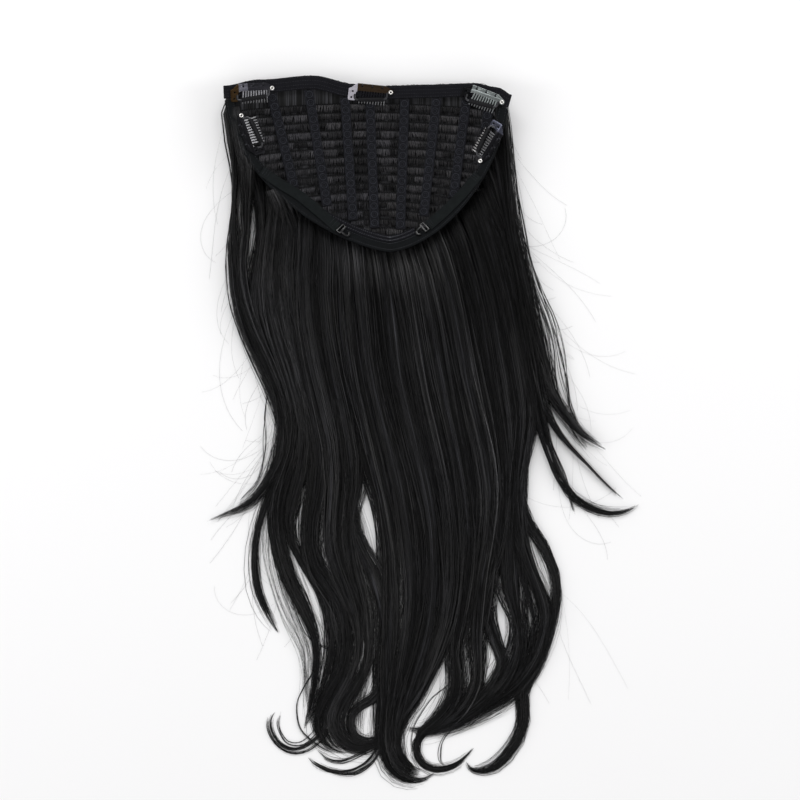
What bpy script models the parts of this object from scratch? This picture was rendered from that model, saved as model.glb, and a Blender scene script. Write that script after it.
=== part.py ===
"""Clip-in half wig, laid on its hair with the inside of the cap facing up.

X runs across the cap, +Y from the nape to the front band, +Z up. The cap frame that the
functions below use has its origin at the middle of the front band's outer edge, on the
surface that the hair lies on. The last step moves everything so that the origin is the
middle of the whole footprint. Lengths are in metres.
"""

import math
from collections import namedtuple

import bmesh
import bpy
from mathutils import Matrix, Vector

# The cap
CAP_WIDTH = 0.257
CAP_DEPTH = 0.152
NAPE_LEAN = 0.0207          # how far right of the front band's middle the nape lies
LEAN_POWER = 2.5
SIDE_ROUNDNESS = 0.66       # how soon the sides turn in towards the nape
DISH_FLOOR = 0.012          # height of the cap's middle over the surface
RIM_RISE = 0.019            # the rim over the middle
FRONT_RISE = 0.005          # the front band's middle over the cap's middle
FRONT_ROLL = 0.35           # share of the depth over which the front rises
FRONT_WAVE = 0.007          # rise of the front edge's largest wave

# Tapes, wefts and ribbons of the cap
FIT_GAP = 0.0003            # between pieces that touch on the real cap
BAND_WIDTH = 0.0115
EDGE_WIDTH = 0.008
BAND_THICKNESS = 0.0029
NAPE_TAPE_WIDTH = 0.006
NAPE_TAPE_THICKNESS = 0.0024
WEFT_COUNT = 15
WEFT_PITCH = 0.008
WEFT_WIDTH = 0.0032
WEFT_THICKNESS = 0.0016
WEFT_SAG = 0.009            # the ends of a weft lie this far below its middle
RIBBON_WIDTH = 0.0085
RIBBON_THICKNESS = 0.001
RIBBON_SEAT = 0.0006        # between a weft's top and the ribbon sewn over it
SEAM_GAP = 0.0008           # between the end of a weft or ribbon and the tape beside it
STRAP_WIDTH = 0.009
STRAP_THICKNESS = 0.0012

# Snap combs, in their own plane: along from the first sewing hole, in towards the teeth
CLIP_STEEL = 0.0006
COMB_PLATE_LENGTH = 0.0252
COMB_PLATE_DEPTH = 0.0065
HOLE_PITCH = 0.0091
HOLE_INSET = 0.0024         # hole centres below the plate's outer edge
SEWING_HOLE = 0.0018
TOOTH_COUNT = 10
TOOTH_PITCH = 0.00235
TOOTH_LENGTH = 0.0116
TOOTH_WIDTH = 0.0013
TOOTH_LEAN = 0.0013         # the first tooth's tip leans out by this much
TAB_WIDTH = 0.0067
TAB_LENGTH = 0.011
RIVET_ALONG = 0.026
RIVET_IN = 0.0029
RIVET_DIAMETER = 0.0039
RIVET_HEIGHT = 0.0012
RIVET_BORE = 0.0015
LEVER_WIDTH = 0.0016
SLEEVE_WIDTH = 0.0038
SLEEVE_HEIGHT = 0.0022

# Strap hooks
HOOK_LENGTH = 0.0126
HOOK_WIDTH = 0.0095
HOOK_THICKNESS = 0.002

# The hair
HAIR_LENGTH = 0.631         # front edge to the lowest tip
HAIR_SPREAD = 0.388         # left tip to right tip
HAIR_GAP = 0.0006           # between the hair and the cap that lies on it
HAIR_HEIGHT = 0.021         # the thickest hair, just below the nape
ROOT_FULLNESS = 1.25        # a lock's width at its root, as a share of its listed width
LOCK_NARROWING = 0.7        # lost from that share over the lock's length
TIP_START = 0.72            # share of a lock's length where its tip starts to close
TIP_NARROWING = 0.86

Section = namedtuple("Section", "down left right middle side")
Lock = namedtuple("Lock", "name width height rests_on route")
Ribbon = namedtuple("Ribbon", "top foot foot_down")
Clip = namedtuple("Clip", "name across down heading")

# Places down the length as shares of HAIR_LENGTH, left and right edges as shares of
# HAIR_SPREAD from the cap's middle, heights as shares of HAIR_HEIGHT
HAIR_SECTIONS = [
    Section(0.030, -0.315, 0.325, 0.42, 0.62),
    Section(0.080, -0.325, 0.338, 0.42, 0.80),
    Section(0.137, -0.315, 0.348, 0.42, 0.86),
    Section(0.194, -0.317, 0.362, 0.45, 0.86),
    Section(0.245, -0.322, 0.380, 1.00, 0.84),
    Section(0.308, -0.317, 0.402, 0.86, 0.76),
    Section(0.365, -0.285, 0.414, 0.70, 0.66),
    Section(0.422, -0.242, 0.425, 0.60, 0.58),
    Section(0.479, -0.218, 0.412, 0.52, 0.50),
    Section(0.536, -0.220, 0.385, 0.46, 0.44),
    Section(0.585, -0.238, 0.372, 0.38, 0.34),
    Section(0.618, -0.215, 0.355, 0.05, 0.05),
]
SECTION_COLUMNS = (-1.0, -0.93, -0.8, -0.6, -0.4, -0.2, 0.0, 0.2, 0.4, 0.6, 0.8, 0.93, 1.0)

# Locks of hair: width and height as shares of HAIR_HEIGHT, each route as (across, down)
# shares of HAIR_SPREAD and HAIR_LENGTH from the root to the tip
LOCKS = [
    Lock("left_edge", 0.90, 0.50, "floor", [
        (-0.300, 0.200), (-0.313, 0.294), (-0.292, 0.338), (-0.260, 0.387),
        (-0.225, 0.437), (-0.204, 0.494), (-0.209, 0.536), (-0.232, 0.579)]),
    Lock("right_edge", 0.90, 0.50, "floor", [
        (0.345, 0.194), (0.368, 0.245), (0.390, 0.308), (0.404, 0.365),
        (0.410, 0.422), (0.400, 0.479), (0.378, 0.530), (0.366, 0.575)]),
    Lock("left_flick", 0.62, 0.26, "floor", [
        (-0.205, 0.545), (-0.236, 0.579), (-0.276, 0.602), (-0.323, 0.611), (-0.374, 0.625)]),
    Lock("left_thin", 0.36, 0.24, "floor", [
        (-0.228, 0.590), (-0.253, 0.636), (-0.265, 0.676), (-0.258, 0.719),
        (-0.234, 0.756), (-0.207, 0.785)]),
    Lock("left_band", 0.80, 0.32, "floor", [
        (-0.215, 0.590), (-0.206, 0.658), (-0.174, 0.715), (-0.137, 0.759),
        (-0.116, 0.800), (-0.116, 0.843), (-0.125, 0.883), (-0.146, 0.926)]),
    Lock("curl", 1.20, 0.42, "floor", [
        (-0.144, 0.590), (-0.100, 0.679), (-0.056, 0.743), (-0.044, 0.800),
        (-0.063, 0.850), (-0.100, 0.887), (-0.111, 0.919), (-0.086, 0.944),
        (-0.039, 0.952), (0.007, 0.940), (0.024, 0.914), (0.007, 0.889), (-0.030, 0.882)]),
    Lock("left_main", 1.30, 0.46, "floor", [
        (-0.086, 0.590), (-0.044, 0.658), (-0.005, 0.722), (0.012, 0.779),
        (-0.002, 0.833), (-0.039, 0.872), (-0.062, 0.892)]),
    Lock("left_inner", 1.15, 0.44, "floor", [
        (-0.044, 0.590), (-0.004, 0.650), (0.036, 0.708), (0.050, 0.765),
        (0.042, 0.822), (0.026, 0.867), (0.018, 0.905)]),
    Lock("left_hook", 0.34, 0.22, "floor", [
        (-0.051, 0.879), (-0.072, 0.910), (-0.104, 0.939), (-0.146, 0.951),
        (-0.186, 0.953), (-0.213, 0.942), (-0.227, 0.919), (-0.220, 0.896)]),
    Lock("left_arc", 0.55, 0.28, "floor", [
        (0.039, 0.864), (0.035, 0.922), (0.020, 0.957), (-0.012, 0.975),
        (-0.056, 0.984), (-0.097, 0.978), (-0.128, 0.965), (-0.142, 0.951)]),
    Lock("centre", 1.30, 0.48, "floor", [
        (0.070, 0.590), (0.085, 0.679), (0.079, 0.765), (0.058, 0.836),
        (0.044, 0.900), (0.046, 0.943), (0.065, 0.974), (0.095, 0.988),
        (0.132, 0.989), (0.162, 0.979)]),
    Lock("centre_right", 1.45, 0.50, "floor", [
        (0.135, 0.590), (0.151, 0.679), (0.142, 0.757), (0.111, 0.822),
        (0.079, 0.879), (0.066, 0.922), (0.078, 0.955), (0.104, 0.974), (0.142, 0.982)]),
    Lock("right_a", 1.20, 0.46, "floor", [
        (0.188, 0.590), (0.214, 0.665), (0.221, 0.736), (0.211, 0.807),
        (0.204, 0.860), (0.172, 0.895), (0.120, 0.918)]),
    Lock("right_b", 1.10, 0.44, "floor", [
        (0.234, 0.590), (0.256, 0.665), (0.267, 0.736), (0.258, 0.807),
        (0.236, 0.860), (0.199, 0.898), (0.150, 0.919)]),
    Lock("right_c", 1.00, 0.42, "floor", [
        (0.270, 0.585), (0.286, 0.665), (0.296, 0.736), (0.302, 0.800),
        (0.286, 0.853), (0.244, 0.890)]),
    Lock("right_d", 1.05, 0.42, "floor", [
        (0.306, 0.580), (0.329, 0.658), (0.350, 0.729), (0.353, 0.793),
        (0.330, 0.843), (0.285, 0.877)]),
    Lock("right_e", 1.05, 0.42, "floor", [
        (0.342, 0.575), (0.367, 0.650), (0.397, 0.722), (0.400, 0.786),
        (0.372, 0.839), (0.322, 0.868)]),
    Lock("right_outer", 0.60, 0.36, "floor", [
        (0.366, 0.545), (0.374, 0.601), (0.400, 0.646), (0.431, 0.682), (0.441, 0.722),
        (0.432, 0.765), (0.408, 0.808), (0.372, 0.846), (0.320, 0.872),
        (0.251, 0.897), (0.181, 0.918), (0.105, 0.921)]),
    Lock("right_hook", 0.42, 0.28, "floor", [
        (0.350, 0.843), (0.357, 0.879), (0.366, 0.904), (0.357, 0.933),
        (0.331, 0.960), (0.292, 0.978), (0.255, 0.984), (0.230, 0.974)]),
    Lock("inner_hook", 0.24, 0.20, "floor", [
        (0.160, 0.906), (0.127, 0.930), (0.118, 0.951), (0.131, 0.970),
        (0.165, 0.978), (0.206, 0.971), (0.251, 0.947)]),
    Lock("right_flick", 0.62, 0.30, "floor", [
        (0.380, 0.345), (0.414, 0.405), (0.450, 0.451), (0.490, 0.485),
        (0.534, 0.509), (0.573, 0.526)]),
    Lock("right_wisp", 0.20, 0.16, "floor", [
        (0.400, 0.444), (0.448, 0.499), (0.508, 0.541), (0.610, 0.598)]),
    Lock("right_sweep", 0.34, 0.24, "floor", [
        (0.390, 0.422), (0.414, 0.486), (0.446, 0.536), (0.480, 0.580),
        (0.522, 0.603), (0.568, 0.610), (0.626, 0.600)]),
    Lock("fall_a", 1.00, 0.36, "hair", [
        (-0.150, 0.245), (-0.185, 0.320), (-0.165, 0.400), (-0.130, 0.480), (-0.145, 0.570)]),
    Lock("fall_b", 1.10, 0.36, "hair", [
        (-0.030, 0.252), (-0.075, 0.330), (-0.050, 0.420), (-0.020, 0.500), (-0.045, 0.580)]),
    Lock("fall_c", 1.10, 0.36, "hair", [
        (0.085, 0.254), (0.062, 0.330), (0.085, 0.420), (0.125, 0.500), (0.110, 0.580)]),
    Lock("fall_d", 1.00, 0.36, "hair", [
        (0.190, 0.250), (0.215, 0.330), (0.250, 0.420), (0.262, 0.500), (0.235, 0.580)]),
]

# Front edge: places across the half width, rise as shares of FRONT_WAVE
FRONT_EDGE = [(-1.0, -0.43), (-0.75, 0.43), (-0.38, 1.0), (-0.1, 0.0), (0.05, -0.29),
              (0.4, -0.14), (0.75, 0.0), (0.9, -0.57), (1.0, -1.57)]

# Ribbons: across the half width at the top and the foot, the foot down as a share of the depth
RIBBONS = [
    Ribbon(-0.67, -0.51, 0.62),
    Ribbon(-0.41, -0.25, 0.88),
    Ribbon(-0.155, -0.09, 0.92),
    Ribbon(0.02, 0.06, 0.98),
    Ribbon(0.265, 0.23, 0.98),
    Ribbon(0.49, 0.38, 0.92),
    Ribbon(0.70, 0.60, 0.72),
    Ribbon(0.86, 0.82, 0.34),
]

# Combs: place of the first sewing hole as shares of the half width and the depth, and the
# direction along the plate in degrees
CLIPS = [
    Clip("clip_front_left", -0.870, 0.022, 4.2),
    Clip("clip_front_middle", -0.032, 0.012, -5.8),
    Clip("clip_front_right", 0.775, 0.036, -21.9),
    Clip("clip_side_left", -0.840, 0.366, 109.3),
    Clip("clip_side_right", 0.925, 0.330, -121.3),
]

# Straps: (across, down) as shares of the half width and the depth, sewn end to hooked end
STRAP_ROUTES = {
    "strap_left": [(-0.735, 0.521), (-0.600, 0.600), (-0.469, 0.669), (-0.330, 0.765),
                   (-0.203, 0.859)],
    "strap_right": [(0.777, 0.545), (0.665, 0.657), (0.532, 0.770), (0.427, 0.847)],
}

NAPE_TAPE_SPAN = (55, 110)  # degrees round the rim, from the left front corner
EDGE_START = 6              # degrees round the rim where the edge band meets the front band
EDGE_END = 171


def clear_scene():
    for item in list(bpy.data.objects):
        bpy.data.objects.remove(item, do_unlink=True)
    for collection in list(bpy.data.collections):
        bpy.data.collections.remove(collection)


def new_collection(name):
    collection = bpy.data.collections.new(name)
    bpy.context.scene.collection.children.link(collection)
    return collection


def new_material(name, colour, metallic, roughness):
    material = bpy.data.materials.new(name)
    material.use_nodes = True
    shader = material.node_tree.nodes["Principled BSDF"]
    shader.inputs["Base Color"].default_value = (*colour, 1.0)
    shader.inputs["Metallic"].default_value = metallic
    shader.inputs["Roughness"].default_value = roughness
    return material


def mesh_object(name, shape, collection, material=None):
    bmesh.ops.recalc_face_normals(shape, faces=shape.faces)
    mesh = bpy.data.meshes.new(name)
    shape.to_mesh(mesh)
    shape.free()
    item = bpy.data.objects.new(name, mesh)
    if material:
        mesh.materials.append(material)
    collection.objects.link(item)
    return item


def loft(rings, closed=False):
    """Skin a run of rings; a closed run joins its last ring to its first."""
    shape = bmesh.new()
    loops = [[shape.verts.new(point) for point in ring] for ring in rings]
    steps = len(loops) if closed else len(loops) - 1
    for step in range(steps):
        near = loops[step]
        far = loops[(step + 1) % len(loops)]
        for side in range(len(near)):
            after = (side + 1) % len(near)
            shape.faces.new((near[side], near[after], far[after], far[side]))
    if not closed:
        shape.faces.new(loops[0])
        shape.faces.new(loops[-1])
    return shape


def smooth_route(points, count):
    """Points spaced along a smooth curve through the given ones."""
    ends = [2 * points[0] - points[1]] + list(points) + [2 * points[-1] - points[-2]]
    route = []
    for step in range(count):
        place = step / (count - 1) * (len(points) - 1)
        first = min(int(place), len(points) - 2)
        t = place - first
        a, b, c, d = ends[first:first + 4]
        route.append(0.5 * (2 * b + (c - a) * t + (2 * a - 5 * b + 4 * c - d) * t ** 2
                            + (3 * b - a - 3 * c + d) * t ** 3))
    return route


def blend_table(rows, place):
    """Value at a place in a table of (place, value) rows, eased from row to row."""
    if place <= rows[0][0]:
        return rows[0][1]
    for (low, low_value), (high, high_value) in zip(rows, rows[1:]):
        if place <= high:
            t = (place - low) / (high - low)
            return low_value + (high_value - low_value) * t * t * (3 - 2 * t)
    return rows[-1][1]


def half_cap():
    return CAP_WIDTH / 2


def lean(down):
    return NAPE_LEAN * max(down, 0) ** LEAN_POWER


def front_edge(x):
    return FRONT_WAVE * blend_table(FRONT_EDGE, x / half_cap())


def rim_point(angle, inset=0.0):
    """Point on the cap's rim, 0 degrees at the left front corner and 90 at the nape."""
    def on_rim(turn):
        across = math.cos(turn)
        reach = math.copysign(abs(across) ** (2 * SIDE_ROUNDNESS), across)
        down = math.sin(turn)
        return Vector((lean(down) - half_cap() * reach, -CAP_DEPTH * down))
    turn = math.radians(angle)
    step = 0.01
    along = (on_rim(turn + step) - on_rim(turn - step)).normalized()
    inwards = Vector((-along.y, along.x))
    return on_rim(turn) + inset * inwards


def dish(x, y):
    """Height of the cap's underside over the surface."""
    down = max(-y, 0) / CAP_DEPTH
    side = abs(x - lean(down)) / half_cap()
    rim = math.sqrt(side ** (1 / SIDE_ROUNDNESS) + down ** 2)
    front = max(0, 1 - down / FRONT_ROLL) ** 2 * max(0, 1 - side ** 2)
    return DISH_FLOOR + RIM_RISE * rim ** 3 + FRONT_RISE * front


RIM_LINE = [rim_point(angle) for angle in range(0, 181, 2)]


def from_rim(point):
    """Distance in from the sides and nape of the cap."""
    return min((point - corner).length for corner in RIM_LINE)


def nape_margin(point):
    """Room that the edge band, and at the nape the nape tape, take along the rim."""
    margin = EDGE_WIDTH + SEAM_GAP
    nape = rim_point(90)
    if abs(point.x - nape.x) < CAP_WIDTH * 0.27 and -point.y > CAP_DEPTH * 0.72:
        margin += NAPE_TAPE_WIDTH + FIT_GAP
    return margin


def tape(name, outer, inner, lift, thickness, collection, material):
    """Flat strip between two lines on the cap, its underside lifted off the dish."""
    rings = []
    for left, right in zip(outer, inner):
        low_left = dish(*left) + lift
        low_right = dish(*right) + lift
        rings.append([(*left, low_left), (*right, low_right),
                      (*right, low_right + thickness), (*left, low_left + thickness)])
    return mesh_object(name, loft(rings), collection, material)


def strip(name, route, width, lift, thickness, collection, material):
    outer, inner = [], []
    for step, point in enumerate(route):
        before = route[max(step - 1, 0)]
        after = route[min(step + 1, len(route) - 1)]
        along = (after - before).normalized()
        across = Vector((-along.y, along.x)) * width / 2
        outer.append(point + across)
        inner.append(point - across)
    return tape(name, outer, inner, lift, thickness, collection, material)


def add_bands(collection, material):
    steps = 24
    outer, inner = [], []
    for step in range(steps + 1):
        x = -half_cap() + CAP_WIDTH * step / steps
        outer.append(Vector((x, front_edge(x))))
        inner.append(Vector((x, front_edge(x) - BAND_WIDTH)))
    tape("front_band", outer, inner, FIT_GAP, BAND_THICKNESS, collection, material)
    steps = 32
    angles = [EDGE_START + (EDGE_END - EDGE_START) * step / steps for step in range(steps + 1)]
    outer = [rim_point(angle) for angle in angles]
    inner = [rim_point(angle, EDGE_WIDTH) for angle in angles]
    tape("edge_band", outer, inner, FIT_GAP, BAND_THICKNESS, collection, material)
    low, high = NAPE_TAPE_SPAN
    steps = 14
    angles = [low + (high - low) * step / steps for step in range(steps + 1)]
    near = EDGE_WIDTH + FIT_GAP
    outer = [rim_point(angle, near) for angle in angles]
    inner = [rim_point(angle, near + NAPE_TAPE_WIDTH) for angle in angles]
    tape("nape_tape", outer, inner, FIT_GAP, NAPE_TAPE_THICKNESS, collection, material)


def weft_point(row, share):
    """Point on a weft's arc: share -1 at the left rim, 0 in the middle, 1 at the right."""
    middle = front_edge(0) - BAND_WIDTH - WEFT_PITCH * (row + 0.75)
    y = middle - WEFT_SAG * share ** 2
    down = min(-y / CAP_DEPTH, 0.999)
    reach = half_cap() * (1 - down ** 2) ** SIDE_ROUNDNESS
    return Vector((lean(down) + share * reach, y))


def weft_reach(row, side):
    """How far out along its arc a weft runs before it meets the tapes on the rim."""
    share = 0.0
    while share < 1.0:
        point = weft_point(row, side * (share + 0.01))
        if from_rim(point) < nape_margin(point) + WEFT_WIDTH / 2:
            break
        share += 0.01
    return side * share


def add_wefts(collection, material):
    for row in range(WEFT_COUNT):
        left = weft_reach(row, -1)
        right = weft_reach(row, 1)
        steps = 6 + round(6 * (right - left) / 2)
        route = [weft_point(row, left + (right - left) * step / steps)
                 for step in range(steps + 1)]
        strip(f"weft_{row + 1:02d}", route, WEFT_WIDTH, FIT_GAP, WEFT_THICKNESS,
              collection, material)


def ribbon_lift():
    return FIT_GAP + WEFT_THICKNESS + RIBBON_SEAT


def add_ribbons(collection, material):
    for number, row in enumerate(RIBBONS, 1):
        top = Vector((row.top * half_cap(), 0))
        lowest = min(front_edge(top.x + side * RIBBON_WIDTH / 2) for side in (-1, 0, 1))
        top.y = lowest - BAND_WIDTH - SEAM_GAP
        foot = Vector((row.foot * half_cap(), -row.foot_down * CAP_DEPTH))
        end = 0.0
        while end < 1.0:
            point = top.lerp(foot, end + 0.01)
            if from_rim(point) < nape_margin(point) + RIBBON_WIDTH * 0.35:
                break
            end += 0.01
        route = [top.lerp(foot, end * step / 9) for step in range(10)]
        strip(f"ribbon_{number}", route, RIBBON_WIDTH, ribbon_lift(), RIBBON_THICKNESS,
              collection, material)


def cover_top():
    """Height over the dish that clears the tapes, wefts and ribbons."""
    return ribbon_lift() + RIBBON_THICKNESS + FIT_GAP


def seat(x, y, heading, outline):
    """Frame on the cap: x along the heading, z off the dish, clear of what lies below.

    The outline is the seated piece's own, in that frame's plane.
    """
    turn = math.radians(heading)
    along = Vector((math.cos(turn), math.sin(turn)))
    across = Vector((-along.y, along.x))
    left, right = min(u for u, v in outline), max(u for u, v in outline)
    low, high = min(v for u, v in outline), max(v for u, v in outline)

    def dish_at(u, v):
        return dish(*(Vector((x, y)) + along * u + across * v))

    middle_u = (left + right) / 2
    middle_v = (low + high) / 2
    rise_along = (dish_at(right, middle_v) - dish_at(left, middle_v)) / (right - left)
    rise_across = (dish_at(middle_u, high) - dish_at(middle_u, low)) / (high - low)
    along = Vector((*along, rise_along)).normalized()
    normal = along.cross(Vector((*across, rise_across))).normalized()
    frame = Matrix((along, normal.cross(along), normal)).transposed().to_4x4()
    place = Vector((x, y, dish(x, y)))
    lift = -math.inf
    for u, v in outline:
        spot = place + frame.to_3x3() @ Vector((u, v, 0))
        lift = max(lift, (dish(spot.x, spot.y) + cover_top() - spot.z) * normal.z)
    frame.translation = place + lift * normal
    return frame


def flat_piece(name, outline, holes, thickness, collection, material):
    """Flat sheet with holes, standing on its own plane, as a filled curve."""
    curve = bpy.data.curves.new(name, "CURVE")
    curve.dimensions = "2D"
    curve.fill_mode = "BOTH"
    curve.extrude = thickness / 2
    for loop in [outline] + holes:
        spline = curve.splines.new("POLY")
        spline.points.add(len(loop) - 1)
        for point, (x, y) in zip(spline.points, loop):
            point.co = (x, y, 0, 1)
        spline.use_cyclic_u = True
    item = bpy.data.objects.new(name, curve)
    curve.materials.append(material)
    collection.objects.link(item)
    weld = item.modifiers.new("weld", "WELD")
    weld.merge_threshold = 0.00001
    return item


def circle(x, y, diameter, sides=8):
    return [(x + diameter / 2 * math.cos(2 * math.pi * side / sides),
             y + diameter / 2 * math.sin(2 * math.pi * side / sides))
            for side in range(sides)]


def comb_outline():
    """Plate, rivet ear, teeth and folded tab, clockwise from the plate's outer corner."""
    top = HOLE_INSET
    root = HOLE_INSET - COMB_PLATE_DEPTH
    plate_left = -0.0046
    plate_right = plate_left + COMB_PLATE_LENGTH
    ear = RIVET_DIAMETER * 0.62
    outline = [(plate_left, top), (plate_right, top),
               (RIVET_ALONG + ear * 0.6, -RIVET_IN + ear),
               (RIVET_ALONG + ear, -RIVET_IN),
               (RIVET_ALONG + ear * 0.5, -RIVET_IN - ear),
               (RIVET_ALONG - ear * 0.7, -RIVET_IN - ear)]
    for tooth in reversed(range(TOOTH_COUNT)):
        middle = -0.0003 + tooth * TOOTH_PITCH
        tip = middle - TOOTH_LEAN * (1 - tooth / (TOOTH_COUNT - 1))
        end = root - TOOTH_LENGTH
        outline += [(middle + TOOTH_WIDTH / 2, root),
                    (tip + TOOTH_WIDTH * 0.3, end + TOOTH_WIDTH * 0.4),
                    (tip, end),
                    (tip - TOOTH_WIDTH * 0.3, end + TOOTH_WIDTH * 0.4),
                    (middle - TOOTH_WIDTH / 2, root)]
    tab_right = -0.0052
    tab_left = tab_right - TAB_WIDTH
    tab_top = -0.0024
    tab_end = tab_top - TAB_LENGTH
    corner = 0.001
    outline += [(tab_right + corner, root - corner),
                (tab_right, root - 2 * corner),
                (tab_right, tab_end + corner),
                (tab_right - corner, tab_end),
                (tab_left + corner, tab_end),
                (tab_left, tab_end + corner),
                (tab_left, tab_top - corner),
                (tab_left + corner, tab_top)]
    return outline


def comb_holes():
    holes = [circle(number * HOLE_PITCH, 0, SEWING_HOLE) for number in range(3)]
    holes.append(circle(-0.0081, -0.0052, SEWING_HOLE))
    holes.append(circle(-0.0089, -0.0107, SEWING_HOLE))
    holes.append(circle(RIVET_ALONG, -RIVET_IN, RIVET_BORE))
    return holes


def sleeve_clearance():
    return CLIP_STEEL / 2 + SLEEVE_HEIGHT / 2 + FIT_GAP


def lever_route():
    """Middle line of the lever, from its end on the tab to its end at the rivet."""
    low = 1.5 * CLIP_STEEL + FIT_GAP
    high = CLIP_STEEL / 2 + sleeve_clearance()
    rivet_side = RIVET_ALONG - RIVET_DIAMETER / 2 - LEVER_WIDTH / 2 - FIT_GAP
    return [Vector((-0.0060, -0.0074, low)), Vector((-0.0062, -0.0114, low)),
            Vector((-0.0038, -0.0124, high)), Vector((0.0208, -0.0098, high)),
            Vector((rivet_side, -0.0082, low)), Vector((rivet_side, -0.0034, low))]


def flat_bar(route, width, thickness):
    """Rings of a flat bar bent along a route, its flat side facing up."""
    rings = []
    for step, point in enumerate(route):
        before = route[max(step - 1, 0)]
        after = route[min(step + 1, len(route) - 1)]
        into = (point - before).normalized() if step else (after - point).normalized()
        out = (after - point).normalized() if step < len(route) - 1 else into
        along = (into + out).normalized()
        across = Vector((-along.y, along.x, 0)).normalized()
        spread = width / 2 / max(across.dot(Vector((-out.y, out.x, 0)).normalized()), 0.5)
        up = Vector((0, 0, thickness / 2))
        side = across * spread
        rings.append([point - side - up, point + side - up, point + side + up,
                      point - side + up])
    return rings


def sleeve_rings():
    """Rubber tube on the straight of the lever: an eight-sided tube round a flat hole."""
    start, end = lever_route()[2:4]
    along = (end - start).normalized()
    across = Vector((-along.y, along.x, 0))
    up = Vector((0, 0, 1))
    start = start + along * 0.0012
    end = end - along * 0.0006
    outer = [(side * SLEEVE_WIDTH / 2, rise * SLEEVE_HEIGHT / 2)
             for side, rise in ((0.6, 1), (1, 0.45), (1, -0.45), (0.6, -1),
                                (-0.6, -1), (-1, -0.45), (-1, 0.45), (-0.6, 1))]
    hole_side = LEVER_WIDTH / 2 + FIT_GAP
    hole_rise = CLIP_STEEL / 2 + FIT_GAP
    inner = [(side * hole_side, rise * hole_rise)
             for side, rise in ((0.8, 1), (1, 0.8), (1, -0.8), (0.8, -1),
                                (-0.8, -1), (-1, -0.8), (-1, 0.8), (-0.8, 1))]
    def ring(place, section):
        return [place + across * x + up * z for x, z in section]
    return [ring(start, outer), ring(end, outer), ring(end, inner), ring(start, inner)]


def add_clip(row, collection, steel, nickel, rubber):
    x = row.across * half_cap()
    y = -row.down * CAP_DEPTH
    frame = seat(x, y, row.heading, comb_outline())
    comb = flat_piece(f"{row.name}_comb", comb_outline(), comb_holes(), CLIP_STEEL,
                      collection, steel)
    comb.matrix_world = frame @ Matrix.Translation((0, 0, CLIP_STEEL / 2))

    sides = 12
    rings = []
    for side in range(sides):
        turn = 2 * math.pi * side / sides
        out = Vector((math.cos(turn), math.sin(turn), 0))
        middle = Vector((RIVET_ALONG, -RIVET_IN, CLIP_STEEL + FIT_GAP))
        top = Vector((0, 0, RIVET_HEIGHT))
        rings.append([middle + out * RIVET_BORE / 2, middle + out * RIVET_DIAMETER / 2,
                      middle + out * RIVET_DIAMETER / 2 + top * 0.5,
                      middle + out * RIVET_DIAMETER * 0.4 + top,
                      middle + out * RIVET_BORE / 2 + top])
    rivet = mesh_object(f"{row.name}_rivet", loft(rings, closed=True), collection, nickel)
    rivet.matrix_world = frame

    route = lever_route()
    tab_end = route[0]
    rivet_end = route[-1]
    hinge = bpy.data.objects.new(f"{row.name}_hinge", None)
    hinge.matrix_world = frame @ Matrix.Translation(tab_end)
    collection.objects.link(hinge)
    back = Matrix.Translation(-tab_end)
    lever = mesh_object(f"{row.name}_lever", loft(flat_bar(route, LEVER_WIDTH, CLIP_STEEL)),
                        collection, steel)
    sleeve = mesh_object(f"{row.name}_sleeve", loft(sleeve_rings(), closed=True),
                         collection, rubber)
    for piece in (lever, sleeve):
        piece.data.transform(back)
        piece.parent = hinge
    axis = frame.to_3x3() @ (tab_end - rivet_end).normalized()
    print("hinge", row.name, "axis", [round(value, 6) for value in axis])


def add_strap(name, collection, webbing, plastic):
    points = [Vector((across * half_cap(), -down * CAP_DEPTH))
              for across, down in STRAP_ROUTES[name]]
    route = smooth_route(points, 12)
    strip(name, route, STRAP_WIDTH, cover_top(), STRAP_THICKNESS, collection, webbing)
    along = (route[-1] - route[-2]).normalized()
    start = route[-1] + along * SEAM_GAP
    heading = math.degrees(math.atan2(along.y, along.x))
    frame = seat(start.x, start.y, heading, hook_outline())
    hook = flat_piece(name.replace("strap", "hook"), hook_outline(), hook_holes(),
                      HOOK_THICKNESS, collection, plastic)
    hook.matrix_world = frame @ Matrix.Translation((0, 0, HOOK_THICKNESS / 2))


def hook_outline():
    half = HOOK_WIDTH / 2
    neck = HOOK_LENGTH * 0.42
    bend = HOOK_LENGTH * 0.72
    return [(0, -half), (neck, -half), (neck, -half * 0.7), (bend, -half * 0.7),
            (HOOK_LENGTH * 0.93, -half * 0.45), (HOOK_LENGTH, 0),
            (HOOK_LENGTH * 0.93, half * 0.45), (bend, half * 0.75),
            (bend, half * 0.35), (HOOK_LENGTH * 0.82, half * 0.1),
            (HOOK_LENGTH * 0.8, -half * 0.15), (bend, -half * 0.25),
            (neck, -half * 0.25), (neck, half), (0, half)]


def hook_holes():
    half = HOOK_WIDTH / 2
    near = HOOK_LENGTH * 0.12
    far = HOOK_LENGTH * 0.26
    return [[(near, -half * 0.75), (far, -half * 0.75), (far, half * 0.75),
             (near, half * 0.75)]]


def section_at(down):
    """The hair's cross section at a place down its length."""
    places = [row.down for row in HAIR_SECTIONS]
    values = []
    for column in ("left", "right", "middle", "side"):
        rows = [(row.down, getattr(row, column)) for row in HAIR_SECTIONS]
        values.append(blend_table(rows, down))
    return Section(min(max(down, places[0]), places[-1]), *values)


def hair_top(section, share):
    """Height of the hair across a section: share -1 at the left edge, 1 at the right."""
    out = abs(share)
    t = min(max((out - 0.45) / 0.35, 0), 1)
    body = section.middle + (section.side - section.middle) * t * t * (3 - 2 * t)
    edge = math.sqrt(max(1 - out ** 6, 0))
    return HAIR_HEIGHT * max(body * edge, 0.1)


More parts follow.
